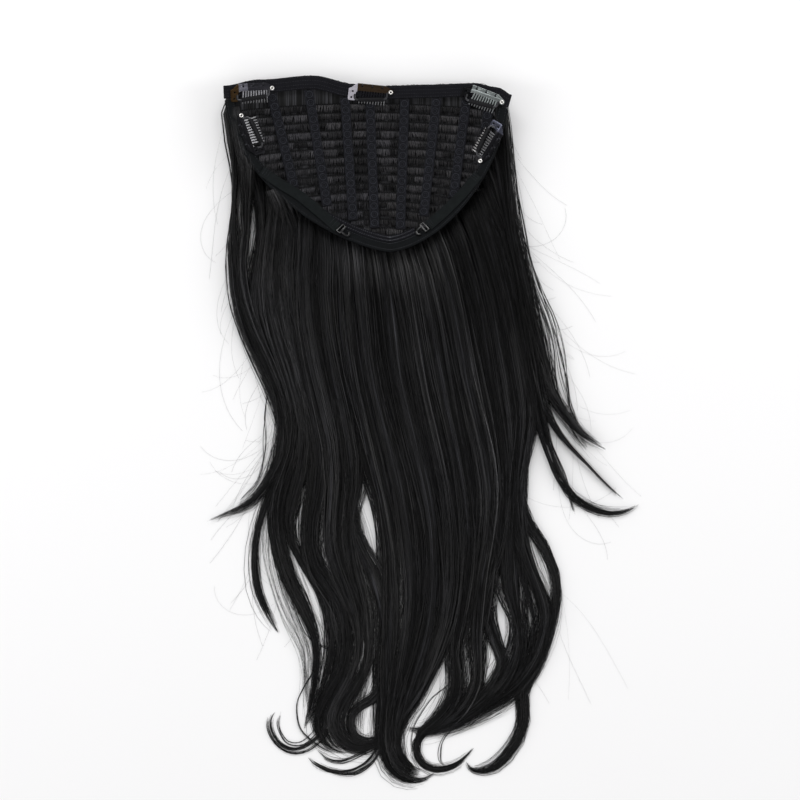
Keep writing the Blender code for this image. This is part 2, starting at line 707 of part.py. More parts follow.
def hair_slab(collection):
    rings = []
    for row in HAIR_SECTIONS:
        y = -row.down * HAIR_LENGTH
        middle = (row.left + row.right) / 2 * HAIR_SPREAD
        half = (row.right - row.left) / 2 * HAIR_SPREAD
        top = [Vector((middle + share * half, y, hair_top(row, share)))
               for share in SECTION_COLUMNS]
        foot = [Vector((middle + share * half * 0.98, y, 0))
                for share in reversed(SECTION_COLUMNS)]
        rings.append(top + foot)
    return loft(rings)


def cap_bed(collection):
    """Hair under the cap: the dish that the cap lies in, and the roll of hair round it."""
    front_steps = 12
    side_steps = 24
    edge = []
    for step in range(side_steps + 1):
        angle = 2 + (174 - 2) * step / side_steps
        point = rim_point(angle)
        outwards = (point - rim_point(angle, 0.001)).normalized()
        spread = min(1, math.sin(math.radians(angle)) / 0.4)
        edge.append((point, outwards, spread))
    for step in range(1, front_steps):
        x = half_cap() - CAP_WIDTH * step / front_steps
        edge.append((Vector((x, front_edge(x))), Vector((0, 1)), 0.0))
    middle = Vector((NAPE_LEAN / 2, -CAP_DEPTH * 0.43))
    inset = 0.0015
    rings = []
    for share in (0.12, 0.3, 0.48, 0.65, 0.8, 0.92):
        ring = []
        for point, outwards, spread in edge:
            spot = middle.lerp(point - outwards * inset, share)
            ring.append((*spot, dish(*spot) - HAIR_GAP))
        rings.append(ring)
    skirt = ((-0.0015, -0.0015, 1.0), (-0.0016, 0.0052, 0.75), (-0.0045, 0.0105, 0.30),
             (-0.0120, 0.0065, 0.02))
    for front, side, rise in skirt:
        ring = []
        for point, outwards, spread in edge:
            spot = point + outwards * (front + (side - front) * spread)
            ring.append((*spot, (dish(*point) - HAIR_GAP) * rise))
        rings.append(ring)
    return loft(rings)


def lock_section(place, across, width, height, low):
    """Flat-bottomed six-sided section of a lock of hair."""
    shape = ((-1.0, 0.4), (-0.55, 1.0), (0.55, 1.0), (1.0, 0.4), (0.6, 0.0), (-0.6, 0.0))
    return [Vector((place.x + across.x * side * width / 2,
                    place.y + across.y * side * width / 2,
                    low + rise * height)) for side, rise in shape]


def lock_taper(share):
    """Width of a lock from its root to its tip, as a share of its greatest width."""
    tip = max(0, (share - TIP_START) / (1 - TIP_START))
    return (ROOT_FULLNESS - LOCK_NARROWING * share) * (1 - TIP_NARROWING * tip ** 1.5)


def add_lock(number, row, collection):
    points = [Vector((across * HAIR_SPREAD, -down * HAIR_LENGTH)) for across, down in row.route]
    count = 2 + round(1.3 * len(points))
    route = smooth_route(points, count)
    rings = []
    for step, point in enumerate(route):
        share = step / (count - 1)
        before = route[max(step - 1, 0)]
        after = route[min(step + 1, count - 1)]
        along = (after - before).normalized()
        across = Vector((-along.y, along.x))
        taper = lock_taper(share)
        width = row.width * HAIR_HEIGHT * taper
        height = row.height * HAIR_HEIGHT * (0.45 + 0.55 * taper)
        low = 0.0004 + 0.00007 * number
        if row.rests_on == "hair":
            section = section_at(-point.y / HAIR_LENGTH)
            half = (section.right - section.left) / 2
            across_share = (point.x / HAIR_SPREAD - (section.left + section.right) / 2) / half
            low = hair_top(section, across_share) - 0.55 * height
        rings.append(lock_section(point, across, width, height, low))
    lock = mesh_object(f"lock_{row.name}", loft(rings), collection)
    lock.hide_render = True
    lock.display_type = "WIRE"
    return lock


def add_hair(collection, helpers, material):
    hair = mesh_object("hair", hair_slab(collection), collection, material)
    bed = mesh_object("bed_under_cap", cap_bed(collection), helpers)
    bed.hide_render = True
    bed.display_type = "WIRE"
    for number, row in enumerate(LOCKS):
        add_lock(number, row, helpers)
    union = hair.modifiers.new("locks", "BOOLEAN")
    union.operation = "UNION"
    union.solver = "EXACT"
    union.operand_type = "COLLECTION"
    union.collection = helpers
    return hair


def centre_on_footprint(collection, helpers):
    """Move everything so that the origin is the middle of the footprint."""
    bpy.context.view_layer.update()
    depsgraph = bpy.context.evaluated_depsgraph_get()
    lowest = Vector((math.inf,) * 3)
    highest = Vector((-math.inf,) * 3)
    for item in collection.objects:
        if item.type == "EMPTY":
            continue
        shown = item.evaluated_get(depsgraph)
        for vertex in shown.to_mesh().vertices:
            corner = shown.matrix_world @ vertex.co
            for axis in range(3):
                lowest[axis] = min(lowest[axis], corner[axis])
                highest[axis] = max(highest[axis], corner[axis])
        shown.to_mesh_clear()
    shift = -(lowest + highest) / 2
    shift.z = -lowest.z
    for item in list(collection.objects) + list(helpers.objects):
        if item.parent is None:
            item.location += shift
    bpy.context.view_layer.update()
    print("moved by", [round(value, 6) for value in shift])


def main():
    clear_scene()
    hairpiece = new_collection("clip_in_hairpiece")
    helpers = new_collection("hair_locks")
    black_hair = new_material("black_hair", (0.012, 0.012, 0.014), 0.0, 0.42)
    black_tape = new_material("black_tape", (0.014, 0.015, 0.017), 0.0, 0.85)
    weft_thread = new_material("weft_thread", (0.018, 0.018, 0.020), 0.0, 0.7)
    lace = new_material("ribbon_lace", (0.010, 0.010, 0.012), 0.0, 0.8)
    webbing = new_material("elastic_webbing", (0.016, 0.020, 0.019), 0.0, 0.75)
    plastic = new_material("hook_plastic", (0.008, 0.008, 0.009), 0.0, 0.18)
    steel = new_material("comb_steel", (0.33, 0.33, 0.36), 1.0, 0.35)
    nickel = new_material("rivet_nickel", (0.75, 0.73, 0.70), 1.0, 0.22)
    rubber = new_material("sleeve_rubber", (0.012, 0.012, 0.013), 0.0, 0.6)

    add_bands(hairpiece, black_tape)
    add_wefts(hairpiece, weft_thread)
    add_ribbons(hairpiece, lace)
    for name in STRAP_ROUTES:
        add_strap(name, hairpiece, webbing, plastic)
    for row in CLIPS:
        add_clip(row, hairpiece, steel, nickel, rubber)
    add_hair(hairpiece, helpers, black_hair)
    centre_on_footprint(hairpiece, helpers)


main()
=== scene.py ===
import math

import bpy
import numpy as np
from mathutils import Matrix, Vector


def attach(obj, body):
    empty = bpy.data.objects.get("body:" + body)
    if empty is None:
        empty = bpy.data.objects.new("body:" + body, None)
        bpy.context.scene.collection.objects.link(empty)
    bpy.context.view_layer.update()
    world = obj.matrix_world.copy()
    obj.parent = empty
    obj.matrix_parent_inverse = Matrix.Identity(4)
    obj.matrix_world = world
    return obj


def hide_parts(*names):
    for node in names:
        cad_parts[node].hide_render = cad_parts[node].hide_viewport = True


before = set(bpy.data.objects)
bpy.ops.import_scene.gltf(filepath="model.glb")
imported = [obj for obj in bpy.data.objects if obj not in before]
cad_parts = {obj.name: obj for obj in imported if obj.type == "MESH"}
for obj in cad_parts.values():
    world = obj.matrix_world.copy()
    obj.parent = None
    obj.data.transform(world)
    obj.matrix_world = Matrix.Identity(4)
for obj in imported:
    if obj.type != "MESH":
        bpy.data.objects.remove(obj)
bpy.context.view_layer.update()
bpy.ops.object.select_all(action="DESELECT")
chance = np.random.default_rng(21)

# The hair and straps below are laid out on a grid, right and down from its top left corner
grid = {"step": 0.0009, "capX": 367, "capY": 84, "viewX": 400, "viewY": 400, "units": 800}
capPlace = Vector((-0.048826, 0.312566, 0.0))  # the cap's origin, at the middle of its front edge

cap = {
    "width": 0.257, "depth": 0.152, "napeLean": 0.0207, "leanPower": 2.5,
    "sideRoundness": 0.66, "floor": 0.012, "rimRise": 0.019, "frontRise": 0.005,
    "frontRoll": 0.35, "frontWave": 0.007, "fitGap": 0.0003,
    "waves": [(-1.0, -0.43), (-0.75, 0.43), (-0.38, 1.0), (-0.1, 0.0), (0.05, -0.29),
              (0.4, -0.14), (0.75, 0.0), (0.9, -0.57), (1.0, -1.57)],
}


def easeTable(rows, place):
    if place <= rows[0][0]:
        return rows[0][1]
    for (low, lowValue), (high, highValue) in zip(rows, rows[1:]):
        if place <= high:
            t = (place - low) / (high - low)
            return lowValue + (highValue - lowValue) * t * t * (3 - 2 * t)
    return rows[-1][1]


def smoothStep(t):
    t = np.clip(t, 0, 1)
    return t * t * (3 - 2 * t)


def leanAt(down):
    return cap["napeLean"] * np.clip(down, 0, 1) ** cap["leanPower"]


def frontEdge(x):
    return cap["frontWave"] * easeTable(cap["waves"], 2 * x / cap["width"])


def rimReach(x, y):  # 1 on the rim, less inside it
    down = np.clip(-y, 0, None) / cap["depth"]
    side = np.abs(x - leanAt(down)) / (cap["width"] / 2)
    return np.sqrt(side ** (1 / cap["sideRoundness"]) + down ** 2)


def capHeight(x, y):  # the cap's underside over the floor
    down = np.clip(-y, 0, None) / cap["depth"]
    side = np.abs(x - leanAt(down)) / (cap["width"] / 2)
    front = np.clip(1 - down / cap["frontRoll"], 0, None) ** 2 * np.clip(1 - side ** 2, 0, None)
    return cap["floor"] + cap["rimRise"] * rimReach(x, y) ** 3 + cap["frontRise"] * front


def rimPoint(angle, inset=0.0):  # 0 at the left front corner, 90 at the nape
    def onRim(turn):
        across, down = math.cos(turn), math.sin(turn)
        reach = math.copysign(abs(across) ** (2 * cap["sideRoundness"]), across)
        return Vector((leanAt(down) - cap["width"] / 2 * reach, -cap["depth"] * down))
    turn = math.radians(angle)
    along = (onRim(turn + 0.01) - onRim(turn - 0.01)).normalized()
    return onRim(turn) + inset * Vector((-along.y, along.x))


def smoothRoute(points, count):
    points = [Vector(point) for point in points]
    ends = [2 * points[0] - points[1]] + points + [2 * points[-1] - points[-2]]
    route = []
    for step in range(count):
        place = step / (count - 1) * (len(points) - 1)
        first = min(int(place), len(points) - 2)
        t = place - first
        a, b, c, d = ends[first:first + 4]
        route.append(0.5 * (2 * b + (c - a) * t + (2 * a - 5 * b + 4 * c - d) * t ** 2
                            + (3 * b - a - 3 * c + d) * t ** 3))
    return route


# Materials: each effect that more than one of them uses is a group

def newGroup(name, inputs, outputs):
    group = bpy.data.node_groups.new(name, "ShaderNodeTree")
    for label, kind, value in inputs:
        socket = group.interface.new_socket(label, in_out="INPUT", socket_type=kind)
        if value is not None:
            socket.default_value = value
    for label, kind in outputs:
        group.interface.new_socket(label, in_out="OUTPUT", socket_type=kind)
    ins = group.nodes.new("NodeGroupInput")
    outs = group.nodes.new("NodeGroupOutput")
    return group, ins, outs


def mathNode(tree, operation, a, b=None, clamp=False):
    node = tree.nodes.new("ShaderNodeMath")
    node.operation = operation
    node.use_clamp = clamp
    for socket, value in zip(node.inputs, (a, b)):
        if value is None:
            continue
        if isinstance(value, (int, float)):
            socket.default_value = value
        else:
            tree.links.new(value, socket)
    return node.outputs[0]


def makeStreakGroup():
    group, ins, outs = newGroup(
        "hairStreaks",
        [("Vector", "NodeSocketVector", None), ("Across", "NodeSocketFloat", 400.0),
         ("Along", "NodeSocketFloat", 12.0)],
        [("Mask", "NodeSocketFloat"), ("Height", "NodeSocketFloat")])
    split = group.nodes.new("ShaderNodeSeparateXYZ")
    group.links.new(ins.outputs["Vector"], split.inputs[0])
    join = group.nodes.new("ShaderNodeCombineXYZ")
    group.links.new(mathNode(group, "MULTIPLY", split.outputs["X"], ins.outputs["Across"]),
                    join.inputs["X"])
    group.links.new(mathNode(group, "MULTIPLY", split.outputs["Y"], ins.outputs["Along"]),
                    join.inputs["Y"])
    group.links.new(mathNode(group, "MULTIPLY", split.outputs["Z"], ins.outputs["Along"]),
                    join.inputs["Z"])
    fine = group.nodes.new("ShaderNodeTexNoise")
    fine.inputs["Scale"].default_value = 1.0
    fine.inputs["Detail"].default_value = 3.0
    broad = group.nodes.new("ShaderNodeTexNoise")
    broad.inputs["Scale"].default_value = 0.17
    broad.inputs["Detail"].default_value = 2.0
    for node in (fine, broad):
        group.links.new(join.outputs[0], node.inputs["Vector"])
    mask = mathNode(group, "MULTIPLY", fine.outputs[0], broad.outputs[0])
    mask = mathNode(group, "MULTIPLY_ADD", mask, 6.0)
    mask.node.inputs[2].default_value = -1.25
    mask.node.use_clamp = True
    group.links.new(mask, outs.inputs["Mask"])
    group.links.new(fine.outputs[0], outs.inputs["Height"])
    return group


def makeWeaveGroup():
    group, ins, outs = newGroup(
        "wovenThreads",
        [("Vector", "NodeSocketVector", None), ("Ribs along", "NodeSocketFloat", 300.0),
         ("Ribs across", "NodeSocketFloat", 20.0)],
        [("Height", "NodeSocketFloat"), ("Wear", "NodeSocketFloat")])
    split = group.nodes.new("ShaderNodeSeparateXYZ")
    group.links.new(ins.outputs["Vector"], split.inputs[0])
    ribs = []
    for axis, label in (("X", "Ribs along"), ("Y", "Ribs across")):
        turns = mathNode(group, "MULTIPLY", split.outputs[axis], ins.outputs[label])
        turns = mathNode(group, "MULTIPLY", turns, 2 * math.pi)
        ribs.append(mathNode(group, "SINE", turns))
    height = mathNode(group, "MULTIPLY", ribs[0], ribs[1])
    height = mathNode(group, "MULTIPLY_ADD", height, 0.5)
    height.node.inputs[2].default_value = 0.5
    group.links.new(height, outs.inputs["Height"])
    noise = group.nodes.new("ShaderNodeTexNoise")
    noise.inputs["Scale"].default_value = 260.0
    noise.inputs["Detail"].default_value = 5.0
    place = group.nodes.new("ShaderNodeTexCoord")
    group.links.new(place.outputs["Object"], noise.inputs["Vector"])
    wear = mathNode(group, "MULTIPLY", noise.outputs[0], height)
    group.links.new(wear, outs.inputs["Wear"])
    return group


def makeScuffGroup():
    group, ins, outs = newGroup(
        "handledMetal",
        [("Scale", "NodeSocketFloat", 400.0), ("Amount", "NodeSocketFloat", 0.5)],
        [("Mask", "NodeSocketFloat"), ("Height", "NodeSocketFloat")])
    place = group.nodes.new("ShaderNodeTexCoord")
    noise = group.nodes.new("ShaderNodeTexNoise")
    noise.inputs["Detail"].default_value = 6.0
    noise.inputs["Roughness"].default_value = 0.65
    group.links.new(place.outputs["Object"], noise.inputs["Vector"])
    group.links.new(ins.outputs["Scale"], noise.inputs["Scale"])
    mask = mathNode(group, "SUBTRACT", noise.outputs[0], 0.42)
    mask = mathNode(group, "MULTIPLY", mask, 5.0, clamp=True)
    mask = mathNode(group, "MULTIPLY", mask, ins.outputs["Amount"], clamp=True)
    group.links.new(mask, outs.inputs["Mask"])
    group.links.new(noise.outputs[0], outs.inputs["Height"])
    return group


streakGroup = makeStreakGroup()
weaveGroup = makeWeaveGroup()
scuffGroup = makeScuffGroup()


def newMaterial(name, roughness, metallic=0.0, specular=0.5):
    material = bpy.data.materials.new(name)
    material.use_nodes = True
    shader = material.node_tree.nodes["Principled BSDF"]
    shader.inputs["Roughness"].default_value = roughness
    shader.inputs["Metallic"].default_value = metallic
    shader.inputs["Specular IOR Level"].default_value = specular
    return material, material.node_tree, shader


def placeGroup(tree, group, **values):
    node = tree.nodes.new("ShaderNodeGroup")
    node.node_tree = group
    for label, value in values.items():
        node.inputs[label.replace("_", " ")].default_value = value
    return node


def mixColours(tree, factor, low, high):
    mix = tree.nodes.new("ShaderNodeMix")
    mix.data_type = "RGBA"
    tree.links.new(factor, mix.inputs["Factor"])
    mix.inputs[6].default_value = (*low, 1)
    mix.inputs[7].default_value = (*high, 1)
    return mix.outputs[2]


def mapValue(tree, value, low, high):
    node = tree.nodes.new("ShaderNodeMapRange")
    tree.links.new(value, node.inputs["Value"])
    node.inputs["To Min"].default_value = low
    node.inputs["To Max"].default_value = high
    return node.outputs[0]


def addBump(tree, shader, height, strength, distance):
    bump = tree.nodes.new("ShaderNodeBump")
    bump.inputs["Strength"].default_value = strength
    bump.inputs["Distance"].default_value = distance
    tree.links.new(height, bump.inputs["Height"])
    tree.links.new(bump.outputs[0], shader.inputs["Normal"])
    return bump


# The hair's own colour is black; cool and warm are painted sheen colours that strands take as their tone rises
hairLook = {"black": (0.0013, 0.0013, 0.0015), "cool": (0.158, 0.159, 0.180),
            "warm": (0.164, 0.160, 0.149), "roughness": 0.36, "specular": 0.18}


def makeStrandMaterial(name, low, cool, warm, specular):
    material, tree, shader = newMaterial(name, hairLook["roughness"], 0.0, specular)
    tone = tree.nodes.new("ShaderNodeAttribute")
    tone.attribute_name = "tone"
    lay = tree.nodes.new("ShaderNodeUVMap")
    lay.uv_map = "OFBake"
    streak = placeGroup(tree, streakGroup, Across=900.0, Along=11.0)
    tree.links.new(lay.outputs[0], streak.inputs["Vector"])
    place = tree.nodes.new("ShaderNodeTexCoord")
    broken = mathNode(tree, "MULTIPLY_ADD", streak.outputs["Height"], 1.1)
    broken.node.inputs[2].default_value = 0.35
    # Painted sheen: the tone attribute, broken up by streaks, mixes the black towards the sheen colours
    paintedLight = mathNode(tree, "MULTIPLY", tone.outputs["Fac"], broken, clamp=True)
    patch = tree.nodes.new("ShaderNodeTexNoise")
    patch.inputs["Scale"].default_value = 14.0
    tree.links.new(place.outputs["Object"], patch.inputs["Vector"])
    sheenColour = tree.nodes.new("ShaderNodeMix")
    sheenColour.data_type = "RGBA"
    tree.links.new(patch.outputs[0], sheenColour.inputs["Factor"])
    sheenColour.inputs[6].default_value = (*warm, 1)
    sheenColour.inputs[7].default_value = (*cool, 1)
    colour = mixColours(tree, paintedLight, low, cool)
    tree.links.new(sheenColour.outputs[2], colour.node.inputs[7])
    tree.links.new(colour, shader.inputs["Base Color"])
    tree.links.new(mapValue(tree, paintedLight, hairLook["roughness"] + 0.08,
                            hairLook["roughness"] - 0.08), shader.inputs["Roughness"])
    return material


def makeCoreMaterial():
    material, tree, shader = newMaterial("hairMass", 0.5, 0.0, hairLook["specular"])
    place = tree.nodes.new("ShaderNodeUVMap")
    place.uv_map = "lay"
    streak = placeGroup(tree, streakGroup, Across=60.0, Along=3.0)
    tree.links.new(place.outputs[0], streak.inputs["Vector"])
    # Painted sheen streaks, at 0.3 of the strands' cool sheen colour, over the black
    tree.links.new(mixColours(tree, streak.outputs["Mask"], hairLook["black"],
                              tuple(value * 0.3 for value in hairLook["cool"])),
                   shader.inputs["Base Color"])
    tree.links.new(mapValue(tree, streak.outputs["Mask"], 0.6, 0.45),
                   shader.inputs["Roughness"])
    addBump(tree, shader, streak.outputs["Height"], 0.6, 0.0006)
    return material


def makeClothMaterial(name, low, high, ribsAlong, ribsAcross, bump):
    material, tree, shader = newMaterial(name, 0.85, 0.0, 0.10)
    place = tree.nodes.new("ShaderNodeUVMap")
    place.uv_map = "UVMap"
    weave = placeGroup(tree, weaveGroup, Ribs_along=ribsAlong, Ribs_across=ribsAcross)
    tree.links.new(place.outputs[0], weave.inputs["Vector"])
    tree.links.new(mixColours(tree, weave.outputs["Wear"], low, high),
                   shader.inputs["Base Color"])
    tree.links.new(mapValue(tree, weave.outputs["Height"], 0.95, 0.7),
                   shader.inputs["Roughness"])
    addBump(tree, shader, weave.outputs["Height"], 0.8, bump)
    return material


def makeMetal(name, low, high, roughness, scale, amount):
    material, tree, shader = newMaterial(name, roughness, 1.0, 0.5)
    scuff = placeGroup(tree, scuffGroup, Scale=scale, Amount=amount)
    tree.links.new(mixColours(tree, scuff.outputs["Mask"], low, high),
                   shader.inputs["Base Color"])
    tree.links.new(mapValue(tree, scuff.outputs["Mask"], roughness, roughness + 0.25),
                   shader.inputs["Roughness"])
    addBump(tree, shader, scuff.outputs["Height"], 0.15, 0.00005)
    return material


def makeSteel(name, tones):
    material, tree, shader = newMaterial(name, 0.26, 1.0, 0.5)
    place = tree.nodes.new("ShaderNodeUVMap")
    place.uv_map = "flat"
    split = tree.nodes.new("ShaderNodeSeparateXYZ")
    tree.links.new(place.outputs[0], split.inputs[0])
    root = combs["holeInset"] - combs["plateDepth"]
    # Masks for the tab, teeth, tips and glint, each of which takes its own painted reflection colour
    tab = mathNode(tree, "LESS_THAN", split.outputs["X"], combs["tabRight"] + 0.0010)
    teeth = mathNode(tree, "LESS_THAN", split.outputs["Y"], root - 0.0002)
    tips = mathNode(tree, "LESS_THAN", split.outputs["Y"], root - combs["toothLength"] * 0.6)
    # The glint is a painted highlight on the plate's left end
    glint = mathNode(tree, "LESS_THAN", split.outputs["X"], combs["holePitch"] * 0.45)
    plate = mixColours(tree, glint, tones["plate"], tones.get("glint", tones["plate"]))
    shade = mixColours(tree, teeth, tones["plate"], tones["teeth"])
    tree.links.new(plate, shade.node.inputs[6])
    for mask, key in ((tips, "tips"), (tab, "tab")):
        layer = mixColours(tree, mask, tones["plate"], tones[key])
        tree.links.new(shade, layer.node.inputs[6])
        shade = layer
    scuff = placeGroup(tree, scuffGroup, Scale=450.0, Amount=0.7)
    dim = tree.nodes.new("ShaderNodeMix")
    dim.data_type = "RGBA"
    dim.blend_type = "MULTIPLY"
    dim.inputs[7].default_value = (0.62, 0.60, 0.58, 1)
    tree.links.new(scuff.outputs["Mask"], dim.inputs["Factor"])
    tree.links.new(shade, dim.inputs[6])
    tree.links.new(dim.outputs[2], shader.inputs["Base Color"])
    tree.links.new(mapValue(tree, scuff.outputs["Mask"], 0.22, 0.42),
                   shader.inputs["Roughness"])
    addBump(tree, shader, scuff.outputs["Height"], 0.15, 0.00005)
    return material


def makeMoulded(name, low, high, roughness, specular):
    material, tree, shader = newMaterial(name, roughness, 0.0, specular)
    scuff = placeGroup(tree, scuffGroup, Scale=900.0, Amount=0.6)
    tree.links.new(mixColours(tree, scuff.outputs["Mask"], low, high),
                   shader.inputs["Base Color"])
    tree.links.new(mapValue(tree, scuff.outputs["Mask"], roughness, roughness + 0.15),
                   shader.inputs["Roughness"])
    addBump(tree, shader, scuff.outputs["Height"], 0.2, 0.00004)
    return material


strandMaterial = makeStrandMaterial("hairStrands", hairLook["black"], hairLook["cool"],
                                    hairLook["warm"], hairLook["specular"])
# The hair seen in the windows: near-black, with painted sheen colours
puffMaterial = makeStrandMaterial("hairInWindows", (0.004, 0.004, 0.004),
                                  (0.105, 0.105, 0.128), (0.108, 0.102, 0.094), 0.15)
coreMaterial = makeCoreMaterial()
tapeMaterial = makeClothMaterial("wovenTape", (0.0030, 0.0030, 0.0042),
                                 (0.016, 0.016, 0.021), 320.0, 14.0, 0.00018)
edgeMaterial = makeClothMaterial("edgeTape", (0.0018, 0.0021, 0.0024),
                                 (0.011, 0.013, 0.015), 300.0, 8.0, 0.00018)
laceMaterial = makeClothMaterial("ribbonLace", (0.0022, 0.0023, 0.0030),
                                 (0.018, 0.018, 0.024), 90.0, 6.0, 0.00020)
ringMaterial = makeMoulded("ribbonRings", (0.014, 0.015, 0.019), (0.048, 0.051, 0.064),
                           0.7, 0.15)
webbingMaterial = makeClothMaterial("elasticWebbing", (0.0032, 0.0040, 0.0042),
                                    (0.016, 0.020, 0.021), 110.0, 12.0, 0.00016)
weftMaterial = makeClothMaterial("weftSeam", (0.0014, 0.0014, 0.0016),
                                 (0.008, 0.008, 0.008), 260.0, 3.0, 0.00022)
threadMaterial = makeMoulded("sewingThread", (0.010, 0.010, 0.013), (0.062, 0.064, 0.076),
                             0.6, 0.3)
napeThreadMaterial = makeMoulded("napeThread", (0.022, 0.022, 0.027),
                                 (0.130, 0.133, 0.150), 0.5, 0.3)
plasticMaterial = makeMoulded("hookPlastic", (0.0012, 0.0012, 0.0016),
                              (0.004, 0.004, 0.005), 0.14, 0.30)
rubberMaterial = makeMoulded("sleeveRubber", (0.0025, 0.0025, 0.0032),
                             (0.010, 0.010, 0.012), 0.55, 0.15)
nickelMaterial = makeMetal("rivetNickel", (0.95, 0.93, 0.90), (0.75, 0.73, 0.70), 0.2,
                           500.0, 0.5)
leverMaterial = makeMetal("leverSteel", (0.055, 0.055, 0.06), (0.03, 0.03, 0.03), 0.3,
                          450.0, 0.7)
print("materials made")


# Building helpers

def finishPiece(piece, name, material, body, nodes=()):
    piece.name = name
    piece.data.name = name
    piece.data.materials.clear()
    piece.data.materials.append(material)
    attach(piece, body)
    if nodes:
        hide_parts(*nodes)
    return piece


def meshPiece(name, points, faces, material, body="hairpiece", nodes=(), smooth=True):
    mesh = bpy.data.meshes.new(name)
    mesh.from_pydata(points, [], faces)
    if smooth:
        mesh.shade_smooth()
    piece = bpy.data.objects.new(name, mesh)
    bpy.context.scene.collection.objects.link(piece)
    return finishPiece(piece, name, material, body, nodes)


def strandPiece(name, paths, widths, tones, material):
    count, steps, _ = paths.shape
    paths = paths + np.array(capPlace)
    along = np.gradient(paths, axis=1)
    along /= np.linalg.norm(along, axis=2, keepdims=True) + 1e-12
    side = np.cross(along, np.array((0.0, 0.0, 1.0)))
    side /= np.linalg.norm(side, axis=2, keepdims=True) + 1e-9
    rise = np.cross(side, along)
    corners = []
    for turn in (90, 210, 330):
        turn = math.radians(turn)
        corners.append(paths + widths[..., None] / 2
                       * (math.cos(turn) * side + math.sin(turn) * rise))
    points = np.stack(corners, axis=2).reshape(-1, 3)
    first = (np.arange(count)[:, None] * steps + np.arange(steps - 1)[None, :]) * 3
    quads = []
    for corner in range(3):
        after = (corner + 1) % 3
        quads.append(np.stack([first + corner, first + after, first + 3 + after,
                               first + 3 + corner], axis=2).reshape(-1, 4))
    quads = np.concatenate(quads)
    base = np.arange(count) * steps * 3
    tops = base + (steps - 1) * 3
    caps = [tuple(row) for row in np.stack([base + 2, base + 1, base], axis=1).tolist()]
    caps += [tuple(row) for row in np.stack([tops, tops + 1, tops + 2], axis=1).tolist()]
    faces = [tuple(row) for row in quads.tolist()] + caps
    piece = meshPiece(name, points.tolist(), faces, material)
    mesh = piece.data
    # The tone attribute: how much painted sheen each point shows in the strand materials
    tone = mesh.attributes.new("tone", "FLOAT", "POINT")
    if tones.ndim == 1:
        tones = np.repeat(tones[:, None], steps, axis=1)
    tone.data.foreach_set("value", np.repeat(tones.ravel(), 3).astype(np.float32))
    corner = np.zeros(len(mesh.loops), np.int32)
    mesh.loops.foreach_get("vertex_index", corner)
    strand = corner // (steps * 3)
    step = (corner // 3) % steps
    u = (strand + 0.15 + 0.3 * (corner % 3)) / count
    v = 0.02 + 0.96 * step / (steps - 1)
    mesh.uv_layers.new(name="OFBake").data.foreach_set(
        "uv", np.stack([u, v], axis=1).astype(np.float32).ravel())
    return piece


# The hair

fall = {  # how high the hair lies, going down from the front edge, in metres
    "down": [0.0, 0.05, 0.12, 0.155, 0.194, 0.23, 0.266, 0.30, 0.34, 0.38, 0.43, 0.50, 0.58,
             0.635],
    "height": [0.013, 0.017, 0.018, 0.0205, 0.019, 0.0168, 0.015, 0.0135, 0.0125, 0.0118,
               0.0108, 0.0095, 0.0070, 0.0045],
    "underCap": 0.0016, "strand": 0.00036, "steps": 24, "web": 0.5,
}

